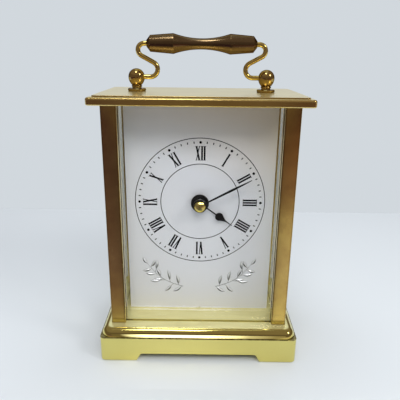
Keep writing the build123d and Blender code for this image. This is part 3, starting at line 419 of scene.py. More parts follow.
def make_handling_haze():
    """Roughness between clean and handled: soft smears over fine wiping marks."""
    tree, given, result = new_group("handling_haze", "Roughness", Clean=0.1, Hazed=0.3, Smears=40.0)
    place = object_place(tree)
    smear = add(tree, "TexNoise", Vector=place, Scale=given["Smears"], Detail=2, Roughness=0.4,
                Distortion=1.2)
    wipe = add(tree, "TexNoise", Vector=place, Scale=900, Detail=2, Roughness=0.7)
    share = math_node(tree, "MULTIPLY", smear.outputs["Fac"], wipe.outputs["Fac"])
    spread = math_node(tree, "SUBTRACT", given["Hazed"], given["Clean"])
    plug(tree, result, math_node(tree, "MULTIPLY_ADD", share, spread, given["Clean"]))
    return tree


def make_edge_mask():
    """1 along outside and inside edges, where lacquer thins or dirt lies, and 0 on open faces; on the front
    pillars it also paints a dark reflection.
    """
    tree, given, result = new_group("edge_mask", "Mask", Reach=0.4 * mm, Gain=4.0)
    rounded = add(tree, "Bevel", {"samples": 4}, Radius=given["Reach"]).outputs["Normal"]
    plain = add(tree, "NewGeometry").outputs["Normal"]
    turned_away = math_node(tree, "SUBTRACT", 1.0, vector_node(tree, "DOT_PRODUCT", rounded, plain)["Value"])
    plug(tree, result, math_node(tree, "MULTIPLY", turned_away, given["Gain"], clamp=True))
    return tree


def make_specks():
    """Scattered pin-pricks, such as pits in lacquer or dust that settled in it."""
    tree, given, result = new_group("specks", "Mask", Spacing=300.0, Size=0.1, Share=0.2)
    cells = add(tree, "TexVoronoi", Vector=object_place(tree), Scale=given["Spacing"], Randomness=1).outputs
    near = math_node(tree, "LESS_THAN", cells["Distance"], given["Size"])
    chosen = math_node(tree, "LESS_THAN", axes(tree, cells["Color"])["X"], given["Share"])
    plug(tree, result, math_node(tree, "MULTIPLY", near, chosen))
    return tree


def make_dust_and_sheen_mask():
    """Dust and drying marks with a painted sheen, thick on faces that look up and broken by wiping from side
    to side.
    """
    steepness = 12.0                    # how fast it thins as a face tips over
    wiping_pitch = (60, 240, 60)
    contrast, least = 0.7, 0.6
    tree, given, result = new_group("dust_and_sheen_mask", "Mask", Amount=0.0)
    up = axes(tree, add(tree, "NewGeometry").outputs["Normal"])["Z"]
    level = math_node(tree, "MULTIPLY_ADD", up, steepness, 1.0 - steepness, clamp=True)
    stretched = vector_node(tree, "MULTIPLY", object_place(tree), wiping_pitch)["Vector"]
    wiped = add(tree, "TexNoise", Vector=stretched, Scale=1, Detail=3, Roughness=0.6).outputs["Fac"]
    kept = math_node(tree, "MULTIPLY_ADD", wiped, contrast, least, clamp=True)
    amount = math_node(tree, "MULTIPLY", kept, given["Amount"])
    plug(tree, result, math_node(tree, "MULTIPLY", level, amount, clamp=True))
    return tree


def make_crease_shade_band():
    """Painted shade in a groove between two heights, uneven along it."""
    contrast, least = 1.6, 0.1
    tree, given, result = new_group("crease_shade_band", "Mask", Low=1.0, High=1.0)
    place = object_place(tree)
    height = axes(tree, place)["Z"]
    above = math_node(tree, "GREATER_THAN", height, given["Low"])
    below = math_node(tree, "LESS_THAN", height, given["High"])
    clumps = add(tree, "TexNoise", Vector=place, Scale=700, Detail=2, Roughness=0.6).outputs["Fac"]
    kept = math_node(tree, "MULTIPLY_ADD", clumps, contrast, least, clamp=True)
    band = math_node(tree, "MULTIPLY", above, below)
    plug(tree, result, math_node(tree, "MULTIPLY", band, kept))
    return tree


fine_lines = make_fine_lines()
tint_drift = make_tint_drift()
handling_haze = make_handling_haze()
edge_mask = make_edge_mask()
specks = make_specks()
dust_and_sheen_mask = make_dust_and_sheen_mask()
crease_shade_band = make_crease_shade_band()


def lay_finish(tree, shader, fresh, aged, patches, amount, clean, hazed, pitch=None, depth=0.0, fill=0.5):
    """Gives a shader a drifting colour, handled gloss and fine marks, and hands back the first two.

    The marks are as close each way as the pitch, or run along the axis with the smallest of its three.
    """
    colour = use(tree, tint_drift, Fresh=fresh, Aged=aged, Patches=patches, Amount=amount)
    haze = use(tree, handling_haze, Clean=clean, Hazed=hazed)
    plug(tree, shader["Base Color"], colour)
    plug(tree, shader["Roughness"], haze)
    if pitch:
        each_way = pitch if isinstance(pitch, tuple) else (pitch,) * 3
        lay_marks(tree, shader, use(tree, fine_lines, Pitch=each_way, Fill=fill), depth)
    return colour, haze


def lay_marks(tree, shader, height, depth):
    """Marks as deep as this, where a height goes from 0 to 1."""
    bump = add(tree, "Bump", Height=height, Distance=depth, Strength=1)
    plug(tree, shader["Normal"], bump.outputs["Normal"])


def make_brass(name, fresh, aged, clean, hazed, pitch, depth, patches=70.0, amount=0.6, seams=0.25,
               reach=0.25 * mm, gain=2.2, edge_tint=(1, 1, 1), coat=0.25, dust_and_sheen=0.0, crease_shade_heights=None):
    """Lacquered brass, tarnished along its seams and in its pits; strong seam darkening also paints dark
    reflections.

    Dust and a painted sheen may lie on the faces that look up, and painted shade between two heights.
    """
    pit_spacing, pit_size, pit_share, pit_depth = 420.0, 0.09, 0.10, 0.5
    dust_and_sheen_cover, crease_shade_cover, cover_roughness = 0.6, 0.45, 0.4
    material, tree, shader = new_material(name, Metallic=1, Coat_Weight=coat, Coat_Roughness=0.06,
                                          Coat_IOR=1.5, Specular_Tint=edge_tint)
    colour, haze = lay_finish(tree, shader, fresh, aged, patches, amount, clean, hazed, pitch, depth)
    seam = math_node(tree, "MULTIPLY", use(tree, edge_mask, Reach=reach, Gain=gain), seams)
    pits = use(tree, specks, Spacing=pit_spacing, Size=pit_size, Share=pit_share)
    dark = math_node(tree, "MAXIMUM", seam, math_node(tree, "MULTIPLY", pits, pit_depth))
    colour = blend(tree, dark, colour, tarnish_and_dark_reflection)
    covers = []
    # Dust and a painted sheen on the faces that look up.
    if dust_and_sheen:
        dust_and_sheen_share = use(tree, dust_and_sheen_mask, Amount=dust_and_sheen)
        colour = blend(tree, dust_and_sheen_share, colour, dust_and_sheen_colour)
        covers.append(math_node(tree, "MULTIPLY", dust_and_sheen_share, dust_and_sheen_cover))
    # Painted shade in a crease between two heights.
    if crease_shade_heights:
        crease_shade_share = use(tree, crease_shade_band, Low=crease_shade_heights[0], High=crease_shade_heights[1])
        colour = blend(tree, crease_shade_share, colour, crease_shade_colour)
        covers.append(math_node(tree, "MULTIPLY", crease_shade_share, crease_shade_cover))
    if covers:
        cover = math_node(tree, "MAXIMUM", covers[0], covers[-1])
        plug(tree, shader["Metallic"], math_node(tree, "SUBTRACT", 1.0, cover))
        plug(tree, shader["Roughness"], math_node(tree, "MULTIPLY_ADD", cover, cover_roughness, haze))
    plug(tree, shader["Base Color"], colour)
    return material


def dress(names, material):
    """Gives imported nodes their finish."""
    for name in names:
        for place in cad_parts[name].material_slots:
            place.material = material


# The base's faces that look up take dust and a painted sheen.
cast_brass = make_brass("cast_brass", (0.77, 0.69, 0.22), (0.68, 0.57, 0.17), clean=0.06, hazed=0.12,
                        pitch=160, depth=0.0015 * mm, dust_and_sheen=0.8, crease_shade_heights=quirk_heights)
dress(["base"], cast_brass)


# ---------------------------------------------------------------- tie screws
# Four slotted steel screws come up through the base and the pillars into the top plate.
# They are zinc plated, and a little dull.


def plain_finish(name, fresh, aged, patches, amount, clean, hazed, pitch=None, depth=0.0, **constants):
    """A material that is all one finish."""
    material, tree, shader = new_material(name, **constants)
    lay_finish(tree, shader, fresh, aged, patches, amount, clean, hazed, pitch, depth)
    return material


zinc = plain_finish("zinc_plate", (0.60, 0.61, 0.62), (0.46, 0.46, 0.44), patches=400.0, amount=0.8,
                    clean=0.24, hazed=0.5, pitch=2600, depth=0.003 * mm, Metallic=1)
dress(["tie_screws"], zinc)


# ---------------------------------------------------------------- pillars
# Four square brass pillars, drawn and polished lengthwise, with their arrises just eased.
# The rear ones take a paler, rougher copy of the brass, as painted light, and the front ones' rounded arrises
# are painted dark, as a dark reflection. The panes slide into grooves along their inner faces.

# Strong, wide seam darkening paints the front pillars' rounded arrises dark, as a painted dark reflection.
drawn_brass = make_brass("drawn_brass", (0.98, 0.86, 0.30), (0.46, 0.30, 0.10), clean=0.12, hazed=0.26,
                         pitch=(1500, 1500, 14), depth=0.0012 * mm, patches=130.0, amount=0.9, seams=1.0,
                         reach=1.2 * mm, gain=9.0)
# A paler, rougher copy of the pillars' brass, as painted light on the rear pillars.
lit_rear_brass = make_brass("lit_rear_brass", (0.95, 0.83, 0.34), (0.70, 0.54, 0.20), clean=0.2, hazed=0.34,
                        pitch=(1500, 1500, 14), depth=0.0012 * mm, patches=130.0)
dress(["pillar_front_left", "pillar_front_right"], drawn_brass)
dress(["pillar_rear_left", "pillar_rear_right"], lit_rear_brass)


# ---------------------------------------------------------------- panes
# Three panes of flat glass with ground edges stand in the grooves, at the front and both sides.
# The glass is soda lime: clear straight through at the front, and faintly yellow-green at the sides.


def make_glass(name, tint):
    material, tree, shader = new_material(name, Base_Color=tint, Metallic=0, IOR=1.46, Transmission_Weight=1)
    plug(tree, shader["Roughness"], use(tree, handling_haze, Clean=0.0, Hazed=0.05, Smears=25.0))
    path = add(tree, "LightPath").outputs
    passing = math_node(tree, "MAXIMUM", path["Is Shadow Ray"], path["Is Diffuse Ray"])
    show_instead(tree, passing, add(tree, "BsdfTransparent", Color=tint))
    return material


dress(["front_glass"], make_glass("front_pane", (0.985, 0.99, 0.988)))
dress(["left_glass", "right_glass"], make_glass("side_pane", (0.965, 0.965, 0.90)))


# ---------------------------------------------------------------- dial plate
# One sheet of metal fills the opening between the pillars and carries the movement behind it.
# It is sprayed in satin silver-white, and a screw through its turned foot holds it to the base.

painted_dial_shade = (0.84, 0.73, 0.58)             # what the enamel's colour is multiplied by where shade is painted
dial_shade_start, dial_shade_full = 82 * mm, 116 * mm
dial_shade_lean = 0.42                        # how much lower the painted shade starts towards the right


def make_enamel():
    """Stove enamel with shade painted below the brass top, most at its right."""
    material, tree, shader = new_material("dial_enamel", Metallic=0, Specular_IOR_Level=0.4)
    colour, _ = lay_finish(tree, shader, (0.764, 0.77, 0.826), (0.70, 0.71, 0.71), patches=18.0,
                           amount=0.5, clean=0.38, hazed=0.5, pitch=5200, depth=0.002 * mm, fill=0.6)
    place = axes(tree, object_place(tree))
    # Painted shade: darker and warmer towards the top, and starting lower towards the right.
    high = math_node(tree, "MULTIPLY_ADD", place["X"], dial_shade_lean, place["Z"])
    share = add(tree, "MapRange", Value=high, From_Min=dial_shade_start, From_Max=dial_shade_full).outputs[0]
    plug(tree, shader["Base Color"], blend(tree, share, colour, painted_dial_shade, "MULTIPLY"))
    return material


dress(["dial_plate"], make_enamel())
dress(["dial_screw"], zinc)


# ---------------------------------------------------------------- dial print
# Two fine rings, forty-eight minute marks, twelve hour dots and twelve roman hours in black ink.
# The hours stand with their tops outwards, and four is IIII, as clock dials have it.

nut_low, nut_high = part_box("dial_nut")
dial_centre = (nut_low + nut_high) / 2
dial_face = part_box("dial_plate")[0].y
ink_rise = 0.02 * mm
ink_sunk = 0.01 * mm

ring_radius = 28.9 * mm
ring_stroke = 0.34 * mm
inner_ring_radius = 0.606 * ring_radius
mark_radius = 0.935 * ring_radius
hour_dot_radius = 0.60 * mm
minute_mark_length = 0.95 * mm
minute_mark_width = 0.46 * mm
numeral_foot = 0.662 * ring_radius
numeral_height = 6.3 * mm
thick_stroke = 0.76 * mm
thin_stroke = 0.38 * mm
stroke_pitch = 1.13 * mm
letter_widths = {"I": 0.0, "X": 1.30 * mm, "V": 1.25 * mm}    # between the middles of the outer strokes
cross_half = letter_widths["X"] / 2
vee_half = letter_widths["V"] / 2
# For each letter its strokes: the places of the foot and of the top, and the width.
letter_strokes = {"I": ((0.0, 0.0, thick_stroke),),
                  "X": ((cross_half, -cross_half, thick_stroke), (-cross_half, cross_half, thin_stroke)),
                  "V": ((0.0, -vee_half, thick_stroke), (0.0, vee_half, thin_stroke))}
serif_height = 0.20 * mm
serif_overhang = 0.20 * mm
numerals = ("XII", "I", "II", "III", "IIII", "V", "VI", "VII", "VIII", "IX", "X", "XI")
ring_steps = 192
dot_steps = 16


def on_dial(x, z, rise):
    """A point given from the dial's centre, at a height above its face."""
    return Vector((dial_centre.x + x, dial_face - rise, dial_centre.z + z))


def join_loops(mesh, first, second):
    """A band of faces between two closed loops."""
    for i in range(len(first)):
        j = (i + 1) % len(first)
        mesh.faces.new((first[i], first[j], second[j], second[i]))


def add_slab(mesh, outline, rise=ink_rise):
    """A thin closed slab of print with this outline."""
    top = [mesh.verts.new(on_dial(x, z, rise)) for x, z in outline]
    bottom = [mesh.verts.new(on_dial(x, z, -ink_sunk)) for x, z in outline]
    mesh.faces.new(top)
    mesh.faces.new(bottom)
    join_loops(mesh, top, bottom)


def add_ring(mesh, radius, stroke, steps):
    """A closed flat ring of ink."""
    loops = []
    for distance, rise in ((radius - stroke / 2, ink_rise), (radius + stroke / 2, ink_rise),
                           (radius + stroke / 2, -ink_sunk), (radius - stroke / 2, -ink_sunk)):
        turns = [2 * math.pi * step / steps for step in range(steps)]
        loops.append([mesh.verts.new(on_dial(distance * math.sin(t), distance * math.cos(t), rise))
                      for t in turns])
    for first, second in zip(loops, loops[1:] + loops[:1]):
        join_loops(mesh, first, second)


def finish_piece(name, mesh, material):
    """Turns built mesh data into a piece that rides on the case and takes its finish from a slot."""
    bmesh.ops.recalc_face_normals(mesh, faces=mesh.faces)
    data = bpy.data.meshes.new(name)
    mesh.to_mesh(data)
    mesh.free()
    piece = new_object(name, data)
    data.materials.append(material)
    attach(piece, "case")


def stroke(foot, top, width, low, high):
    """One stroke of a numeral or mark, cut level at foot and top, as its outline."""
    half = width / 2
    return [(foot - half, low), (foot + half, low), (top + half, high), (top - half, high)]


def serif(middle, width, level):
    return stroke(middle, middle, width + 2 * serif_overhang, level, level + serif_height)


def letter_outlines(letter, middle):
    """The strokes of I, V or X about a middle, standing on level zero, and their serifs."""
    shapes = []
    for foot, top, width in letter_strokes[letter]:
        shapes.append(stroke(middle + foot, middle + top, width, 0, numeral_height))
        shapes.append(serif(middle + top, width, numeral_height - serif_height))
        if letter != "V":
            shapes.append(serif(middle + foot, width, 0))
    return shapes


def numeral_outlines(numeral):
    """All strokes of a numeral, centred."""
    places, reach = [], -stroke_pitch
    for letter in numeral:
        half = letter_widths[letter] / 2
        places.append(reach + stroke_pitch + half)
        reach = places[-1] + half
    shapes = []
    for letter, place in zip(numeral, places):
        shapes += letter_outlines(letter, place - reach / 2)
    return shapes


def turned_to_hour(outline, hour):
    """Moves an outline that stands upright over the centre round to its hour."""
    turn = 2 * math.pi * hour / len(numerals)
    return [(x * math.cos(turn) + z * math.sin(turn), -x * math.sin(turn) + z * math.cos(turn))
            for x, z in outline]


def rings():
    mesh = bmesh.new()
    add_ring(mesh, ring_radius, ring_stroke, ring_steps)
    add_ring(mesh, inner_ring_radius, ring_stroke, ring_steps)
    return mesh


def minute_marks():
    mesh = bmesh.new()
    low, high = mark_radius - minute_mark_length / 2, mark_radius + minute_mark_length / 2
    dot = [(hour_dot_radius * math.cos(2 * math.pi * i / dot_steps),
            mark_radius + hour_dot_radius * math.sin(2 * math.pi * i / dot_steps)) for i in range(dot_steps)]
    for minute in range(60):
        mark = stroke(0, 0, minute_mark_width, low, high) if minute % 5 else dot
        add_slab(mesh, turned_to_hour(mark, minute / 5))
    return mesh


def hour_numerals():
    mesh = bmesh.new()
    for hour, numeral in enumerate(numerals):
        for outline in numeral_outlines(numeral):
            standing = [(x, z + numeral_foot) for x, z in outline]
            add_slab(mesh, turned_to_hour(standing, hour))
    return mesh


dial_ink = plain_finish("dial_ink", (0.002, 0.002, 0.003), (0.006, 0.006, 0.007), patches=900.0,
                        amount=0.5, clean=0.45, hazed=0.6, Metallic=0, Specular_IOR_Level=0.05)
finish_piece("dial_rings", rings(), dial_ink)
finish_piece("minute_marks", minute_marks(), dial_ink)
finish_piece("hour_numerals", hour_numerals(), dial_ink)


# ---------------------------------------------------------------- dial sprigs
# A plain leafy sprig in silver foil lies under each side of the rings, and one mirrors the other.
# Each leaf is pressed with a ridge down its middle; its half that slopes up is painted lighter and the other
# darker, as painted light and shade. Grey print draws the twigs and a fine line round every leaf, as a
# painted shadow edge.

sprig_foot = (-7.6 * mm, -42.2 * mm)    # from the dial's centre
sprig_tip = (-24.2 * mm, -30.4 * mm)
sprig_sag = 2.2 * mm
# Place along the stem, side, length of stalk and length of leaf in mm, for each leaf.
sprig_leaves = ((0.02, 1, 0.5, 4.6), (0.10, -1, 0.6, 4.8), (0.22, 1, 1.4, 4.4), (0.30, -1, 1.2, 5.0),
                (0.42, 1, 2.6, 4.8), (0.46, 1, 0.6, 4.0), (0.54, -1, 0.8, 4.2), (0.66, 1, 1.0, 4.4),
                (0.72, -1, 2.0, 4.4), (0.84, 1, 0.6, 3.8), (0.88, -1, 0.6, 3.6))
tip_leaf = 3.6
leaf_width = 1.5 * mm
leaf_shadow_edge = 0.13 * mm                   # of grey print showing round the foil, as a painted shadow edge
leaf_ridge = 0.44 * mm
leaf_curl = 0.05                        # of its length, to the side it grows on
leaf_fullness = 0.8
leaf_steps = 7
leaf_spread = math.radians(46)          # from the stem, more or less by the sway
spread_sway = 0.35
sway_rate = 9
stem_width = 0.30 * mm
stem_taper = 0.6
stem_steps = 20
stalk_width = 0.22 * mm
painted_foil_shade = (0.08, 0.085, 0.09)        # painted shade on the halves that slope down
painted_light_gain, painted_light_level = 2.6, 0.6


def make_foil():
    material, tree, shader = new_material("silver_foil", Metallic=0.12)
    colour, _ = lay_finish(tree, shader, (0.98, 0.98, 1.0), (0.45, 0.47, 0.50), patches=520.0, amount=0.8,
                           clean=0.16, hazed=0.4, pitch=3000, depth=0.006 * mm)
    # The halves that slope up are painted lighter and those that slope down darker, as painted light and
    # shade.
    slope = axes(tree, add(tree, "NewGeometry").outputs["Normal"])["Z"]
    painted_lit = math_node(tree, "MULTIPLY_ADD", slope, painted_light_gain, painted_light_level, clamp=True)
    plug(tree, shader["Base Color"], blend(tree, painted_lit, painted_foil_shade, colour))
    return material


def sprig_point(t):
    """A point on the stem and the stem's direction there, t running from foot to tip."""
    foot, tip = Vector(sprig_foot), Vector(sprig_tip)
    along = tip - foot
    across = Vector((along.y, -along.x)).normalized()
    place = foot + along * t - across * sprig_sag * math.sin(math.pi * t)
    way = along - across * sprig_sag * math.pi * math.cos(math.pi * t)
    return place, way.normalized()


def leaf_edges(foot, way, length, width, side):
    """The two bowed edges of a pointed leaf and the line down its middle, each from foot to tip."""
    across = Vector((-way.y, way.x))
    middle, left, right = [], [], []
    for i in range(leaf_steps + 1):
        t = i / leaf_steps
        bow = math.sin(math.pi * min(t, 1 - t))
        centre = foot + way * length * t + across * side * leaf_curl * length * bow
        half = across * width / 2 * bow ** leaf_fullness
        middle.append(centre)
        left.append(centre + half)
        right.append(centre - half)
    return middle, left, right


def add_leaf(mesh, mirror, foot, way, length, side):
    """A closed leaf of foil, its middle raised to a ridge and its edges on the dial."""
    def line(points, rises):
        return [mesh.verts.new(on_dial(p.x * mirror, p.y, rise)) for p, rise in zip(points, rises)]
    middle, left, right = leaf_edges(foot, way, length, leaf_width - 2 * leaf_shadow_edge, side)
    ridge = line(middle, [leaf_ridge * math.sin(math.pi * i / leaf_steps) + ink_rise
                          for i in range(leaf_steps + 1)])
    rims = []
    for edge in (left, right):
        rim = [ridge[0]] + line(edge[1:-1], [ink_rise] * leaf_steps) + [ridge[-1]]
        for i in range(leaf_steps):
            corners = [ridge[i], ridge[i + 1], rim[i + 1], rim[i]]
            mesh.faces.new(list(dict.fromkeys(corners)))
        rims.append(rim)
    under = line(left + right[-2:0:-1], [-ink_sunk] * 2 * leaf_steps)
    mesh.faces.new(under)
    join_loops(mesh, rims[0] + rims[1][-2:0:-1], under)


def add_print(mesh, mirror, left, right):
    """A thin closed slab of print between two lines that run side by side."""
    outline = [(p.x * mirror, p.y) for p in left + right[::-1]]
    add_slab(mesh, list(dict.fromkeys(outline)), ink_rise / 2)


def add_twig(mesh, mirror, places, widths):
    """A printed twig through some places, as wide at each as its width."""
    left, right = [], []
    for i, place in enumerate(places):
        way = (places[min(i + 1, len(places) - 1)] - places[max(i - 1, 0)]).normalized()
        half = Vector((-way.y, way.x)) * widths[i] / 2
        left.append(place + half)
        right.append(place - half)
    add_print(mesh, mirror, left, right)


def leaf_places():
    """Where each leaf grows: the foot of its stalk, the leaf's own foot, its way, length and side."""
    for t, side, stalk, length in sprig_leaves:
        start, way = sprig_point(t)
        spread = leaf_spread + spread_sway * math.sin(sway_rate * t)
        turned = Matrix.Rotation(side * spread, 2) @ way
        yield start, start + turned * stalk * mm, turned, length * mm, side
    tip, way = sprig_point(1)
    yield tip, tip, way, tip_leaf * mm, 1


def make_sprigs():
    leaves, printed = bmesh.new(), bmesh.new()
    shares = [i / stem_steps for i in range(stem_steps + 1)]
    for mirror in (1, -1):
        stem = [sprig_point(t)[0] for t in shares]
        add_twig(printed, mirror, stem, [stem_width * (1 - stem_taper * t) for t in shares])
        for start, foot, way, length, side in leaf_places():
            if foot != start:
                add_twig(printed, mirror, [start, foot], [stalk_width, stalk_width])
            # A grey outline round the leaf, as a painted shadow edge.
            _, left, right = leaf_edges(foot - way * leaf_shadow_edge, way, length + 2 * leaf_shadow_edge, leaf_width, side)
            add_print(printed, mirror, left, right)
            add_leaf(leaves, mirror, foot, way, length, side)
    # Grey print for the twigs, which also paints the shadow edges round the leaves.
    grey_print_and_shadow_edge = plain_finish("grey_print_and_shadow_edge", (0.09, 0.095, 0.095), (0.42, 0.43, 0.43), patches=400.0,
                            amount=0.9, clean=0.4, hazed=0.55, Metallic=0, Specular_IOR_Level=0.2)
    finish_piece("dial_sprig_print", printed, grey_print_and_shadow_edge)
    finish_piece("dial_sprigs", leaves, make_foil())


make_sprigs()


# ---------------------------------------------------------------- movement housing
# The quartz movement is a square box of black moulded plastic with a matt, spark-eroded face.
# A rubber washer lies between it and the dial, and a slotted black nut on its bush holds both.


def rub_edges(tree, shader, colour, worn_colour, share, reach, gain, how="MIX"):
    """Takes a colour part of the way to a worn one along the edges."""
    worn = math_node(tree, "MULTIPLY", use(tree, edge_mask, Reach=reach, Gain=gain), share)
    plug(tree, shader["Base Color"], blend(tree, worn, colour, worn_colour, how))


def make_moulding(name, fresh, aged, clean, hazed, pitch, depth):
    """Moulded plastic with a fine eroded grain, paler along its edges."""
    material, tree, shader = new_material(name, Metallic=0, Specular_IOR_Level=0.45)
    colour, _ = lay_finish(tree, shader, fresh, aged, patches=90.0, amount=0.6, clean=clean, hazed=hazed,
                           pitch=pitch, depth=depth, fill=0.65)
    rub_edges(tree, shader, colour, (0.12, 0.12, 0.12), share=0.25, reach=0.3 * mm, gain=2.0, how="ADD")
    return material


def make_black_lacquer():
    material, tree, shader = new_material("black_lacquer", Metallic=0, Coat_Weight=0.15, Coat_Roughness=0.2,
                                          Specular_IOR_Level=0.25)
    colour, _ = lay_finish(tree, shader, (0.004, 0.004, 0.005), (0.014, 0.014, 0.015), patches=500.0,
                           amount=0.6, clean=0.3, hazed=0.5, pitch=4000, depth=0.003 * mm)
    rub_edges(tree, shader, colour, (0.22, 0.20, 0.17), share=0.06, reach=0.12 * mm, gain=1.5)
    return material


black_moulding = make_moulding("black_moulding", (0.028, 0.028, 0.031), (0.05, 0.05, 0.052),
                               clean=0.42, hazed=0.62, pitch=3800, depth=0.012 * mm)
white_moulding = make_moulding("white_moulding", (0.80, 0.80, 0.77), (0.72, 0.71, 0.66),
                               clean=0.34, hazed=0.5, pitch=3000, depth=0.004 * mm)
black_rubber = make_moulding("black_rubber", (0.035, 0.034, 0.034), (0.07, 0.07, 0.068),
                             clean=0.6, hazed=0.8, pitch=2200, depth=0.01 * mm)
black_lacquer = make_black_lacquer()
dress(["movement_front_case", "movement_rear_cover"], black_moulding)
dress(["movement_mid_plate"], white_moulding)
dress(["rubber_washer"], black_rubber)
dress(["dial_nut"], black_lacquer)


# ---------------------------------------------------------------- gear train
# The wheels, pinions and setting arbor are moulded in natural acetal, milky and slightly waxy.
# The rotor's magnet is a dark sintered ring, and the setting knob is black like the case.

acetal = make_moulding("acetal", (0.86, 0.86, 0.80), (0.78, 0.77, 0.68),
                       clean=0.28, hazed=0.42, pitch=1800, depth=0.002 * mm)
sintered_magnet = plain_finish("sintered_magnet", (0.11, 0.11, 0.12), (0.06, 0.06, 0.065), patches=800.0,
                               amount=0.8, clean=0.5, hazed=0.7, pitch=6000, depth=0.01 * mm, Metallic=0.6)
dress(["hour_wheel", "cannon_pinion", "minute_wheel", "setting_arbor", "centre_wheel", "third_wheel",
       "second_wheel", "intermediate_wheel", "rotor_pinion"], acetal)
dress(["setting_knob"], black_moulding)
dress(["rotor_magnet"], sintered_magnet)


# ---------------------------------------------------------------- motor and circuit
# The stepping motor has a punched soft-iron stator, and a coil of red enamelled wire on a bobbin.
# The board is green glass fibre with tinned tracks, a blob of black resin and a crystal in its can.

wire_pitch = 0.16 * mm
wave_length = math.pi / 10              # of the wave texture at a scale of 1


def make_winding():
    material, tree, shader = new_material("enamelled_wire", Metallic=0.75, Coat_Weight=0.6,
                                          Coat_Roughness=0.15)
    lay_finish(tree, shader, (0.56, 0.19, 0.07), (0.38, 0.11, 0.05), patches=300.0, amount=0.8,
               clean=0.25, hazed=0.4)
    turns = add(tree, "TexWave", {"bands_direction": "X"}, Vector=object_place(tree),
                Scale=wave_length / wire_pitch, Distortion=0.15)
    lay_marks(tree, shader, turns.outputs["Fac"], 0.05 * mm)
    return material


def make_board():
    material, tree, shader = new_material("glass_fibre_board", Metallic=0)
    laminate, _ = lay_finish(tree, shader, (0.05, 0.20, 0.08), (0.03, 0.13, 0.06), patches=200.0,
                             amount=0.8, clean=0.3, hazed=0.45)
    tracks = add(tree, "TexBrick", {"offset": 0.5}, Vector=object_place(tree), Scale=420, Mortar_Size=0.03,
                 Brick_Width=0.9, Row_Height=0.6).outputs["Fac"]
    plug(tree, shader["Base Color"], blend(tree, tracks, laminate, (0.12, 0.34, 0.16)))
    lay_marks(tree, shader, tracks, 0.03 * mm)
    return material


punched_iron = plain_finish("punched_iron", (0.52, 0.53, 0.54), (0.38, 0.37, 0.35), patches=260.0,
                            amount=0.8, clean=0.3, hazed=0.55, pitch=(90, 3000, 3000), depth=0.004 * mm,
                            Metallic=1)
black_resin = plain_finish("black_resin", (0.012, 0.012, 0.012), (0.03, 0.03, 0.03), patches=300.0,
                           amount=0.6, clean=0.2, hazed=0.35, pitch=700, depth=0.02 * mm,
                           Metallic=0, Coat_Weight=0.4, Coat_Roughness=0.1)
nickel = plain_finish("nickel_plate", (0.66, 0.64, 0.59), (0.52, 0.49, 0.42), patches=300.0,
                      amount=0.7, clean=0.14, hazed=0.3, pitch=(3000, 3000, 60), depth=0.002 * mm, Metallic=1)
dress(["stator", "coil_core"], punched_iron)
dress(["stator_screws"], zinc)
dress(["coil_bobbin"], white_moulding)
dress(["coil_winding"], make_winding())
dress(["circuit_board"], make_board())
dress(["circuit_chip"], black_resin)
dress(["quartz_crystal"], nickel)


# ---------------------------------------------------------------- battery
# One AA cell lies in the open half of the movement, between two nickel-plated contacts.
# Its printed jacket is plain: dark over most of its length, with a copper-coloured shoulder.

cell_low, cell_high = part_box("battery")
cell_middle = (cell_low + cell_high) / 2
shoulder_length = 12.0 * mm
shoulder_colour = (0.62, 0.30, 0.12)
shoulder_metal = 0.8
bare_radius = 5.6 * mm                  # of the can's ends, which the jacket leaves bare
bare_colour = (0.60, 0.60, 0.58)


def make_jacket():
    material, tree, shader = new_material("cell_jacket", Coat_Weight=0.5, Coat_Roughness=0.12)
    dark, _ = lay_finish(tree, shader, (0.03, 0.033, 0.045), (0.05, 0.052, 0.06), patches=120.0,
                         amount=0.7, clean=0.22, hazed=0.4)
    place = axes(tree, object_place(tree))
    shoulder = math_node(tree, "GREATER_THAN", place["X"], cell_high.x - shoulder_length)
    offset = add(tree, "CombineXYZ", X=0.0, Y=math_node(tree, "SUBTRACT", place["Y"], cell_middle.y),
                 Z=math_node(tree, "SUBTRACT", place["Z"], cell_middle.z)).outputs[0]
    bare = math_node(tree, "LESS_THAN", vector_node(tree, "LENGTH", offset)["Value"], bare_radius)
    jacket = blend(tree, shoulder, dark, shoulder_colour)
    plug(tree, shader["Base Color"], blend(tree, bare, jacket, bare_colour))
    plug(tree, shader["Metallic"], math_node(tree, "MAXIMUM", bare,
                                             math_node(tree, "MULTIPLY", shoulder, shoulder_metal)))
    return material


dress(["battery"], make_jacket())
dress(["battery_contact_plus", "battery_contact_minus"], nickel)


# ---------------------------------------------------------------- hands
# The hands are punched from sheet steel and stoved black, each riveted to its hub.
# A domed brass cap nut holds the minute hand on its pipe.

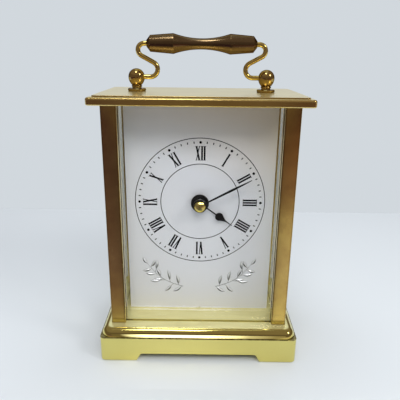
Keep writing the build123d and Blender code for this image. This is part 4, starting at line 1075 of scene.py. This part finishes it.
nut_brass = make_brass("nut_brass", (0.95, 0.84, 0.30), (0.74, 0.62, 0.19), clean=0.14, hazed=0.24,
                       pitch=500, depth=0.0015 * mm)
dress(["hour_hand", "minute_hand"], black_lacquer)
dress(["cap_nut"], nut_brass)


# ---------------------------------------------------------------- rear door
# The back is closed by a door of brass sheet that turns on two steel pins at its edge.
# It has a small turned knob, riveted on, and shuts against a brass peg in the base.

sheet_brass = make_brass("sheet_brass", (0.82, 0.70, 0.24), (0.66, 0.52, 0.17), clean=0.16, hazed=0.30,
                         pitch=(1300, 1300, 22), depth=0.0022 * mm, amount=0.8)
turned_brass = make_brass("turned_brass", (0.66, 0.50, 0.19), (0.40, 0.27, 0.08), clean=0.06, hazed=0.16,
                          pitch=500, depth=0.0015 * mm, edge_tint=(0.12, 0.08, 0.04), coat=0.05)
dress(["rear_door"], sheet_brass)
dress(["door_pins"], zinc)
dress(["door_knob", "door_stop"], turned_brass)


# ---------------------------------------------------------------- top plate
# The roof is a thick brass plate with rounded corners and rim and a low raised panel, brushed from
# side to side. The ball posts pass through it and are held by nuts underneath.

# The plate's faces that look up take dust and a painted sheen.
plate_brass = make_brass("plate_brass", (0.92, 0.74, 0.28), (0.62, 0.42, 0.14), clean=0.2, hazed=0.32,
                         pitch=(26, 1700, 1700), depth=0.004 * mm, amount=0.9, dust_and_sheen=0.35)
dress(["top_plate"], plate_brass)
dress(["post_washers", "post_nuts"], turned_brass)


# ---------------------------------------------------------------- ball posts and handle
# Two turned posts end in balls, and each takes one end of a bent brass wire.
# The wires are fast in a turned grip that was given a darker, antique lacquer.

wire_brass = make_brass("wire_brass", (1.0, 0.82, 0.28), (0.75, 0.56, 0.16), clean=0.1, hazed=0.18,
                        pitch=400, depth=0.0015 * mm, edge_tint=(0.08, 0.05, 0.02), coat=0.0)
antique_brass = make_brass("antique_brass", (0.34, 0.25, 0.13), (0.17, 0.11, 0.055), clean=0.16, hazed=0.3,
                           pitch=(1600, 40, 40), depth=0.006 * mm, amount=0.9,
                           edge_tint=(0.16, 0.11, 0.08), coat=0.06)
dress(["ball_post_left", "ball_post_right"], turned_brass)
dress(["handle_arm_left", "handle_arm_right"], wire_brass)
dress(["handle_grip"], antique_brass)
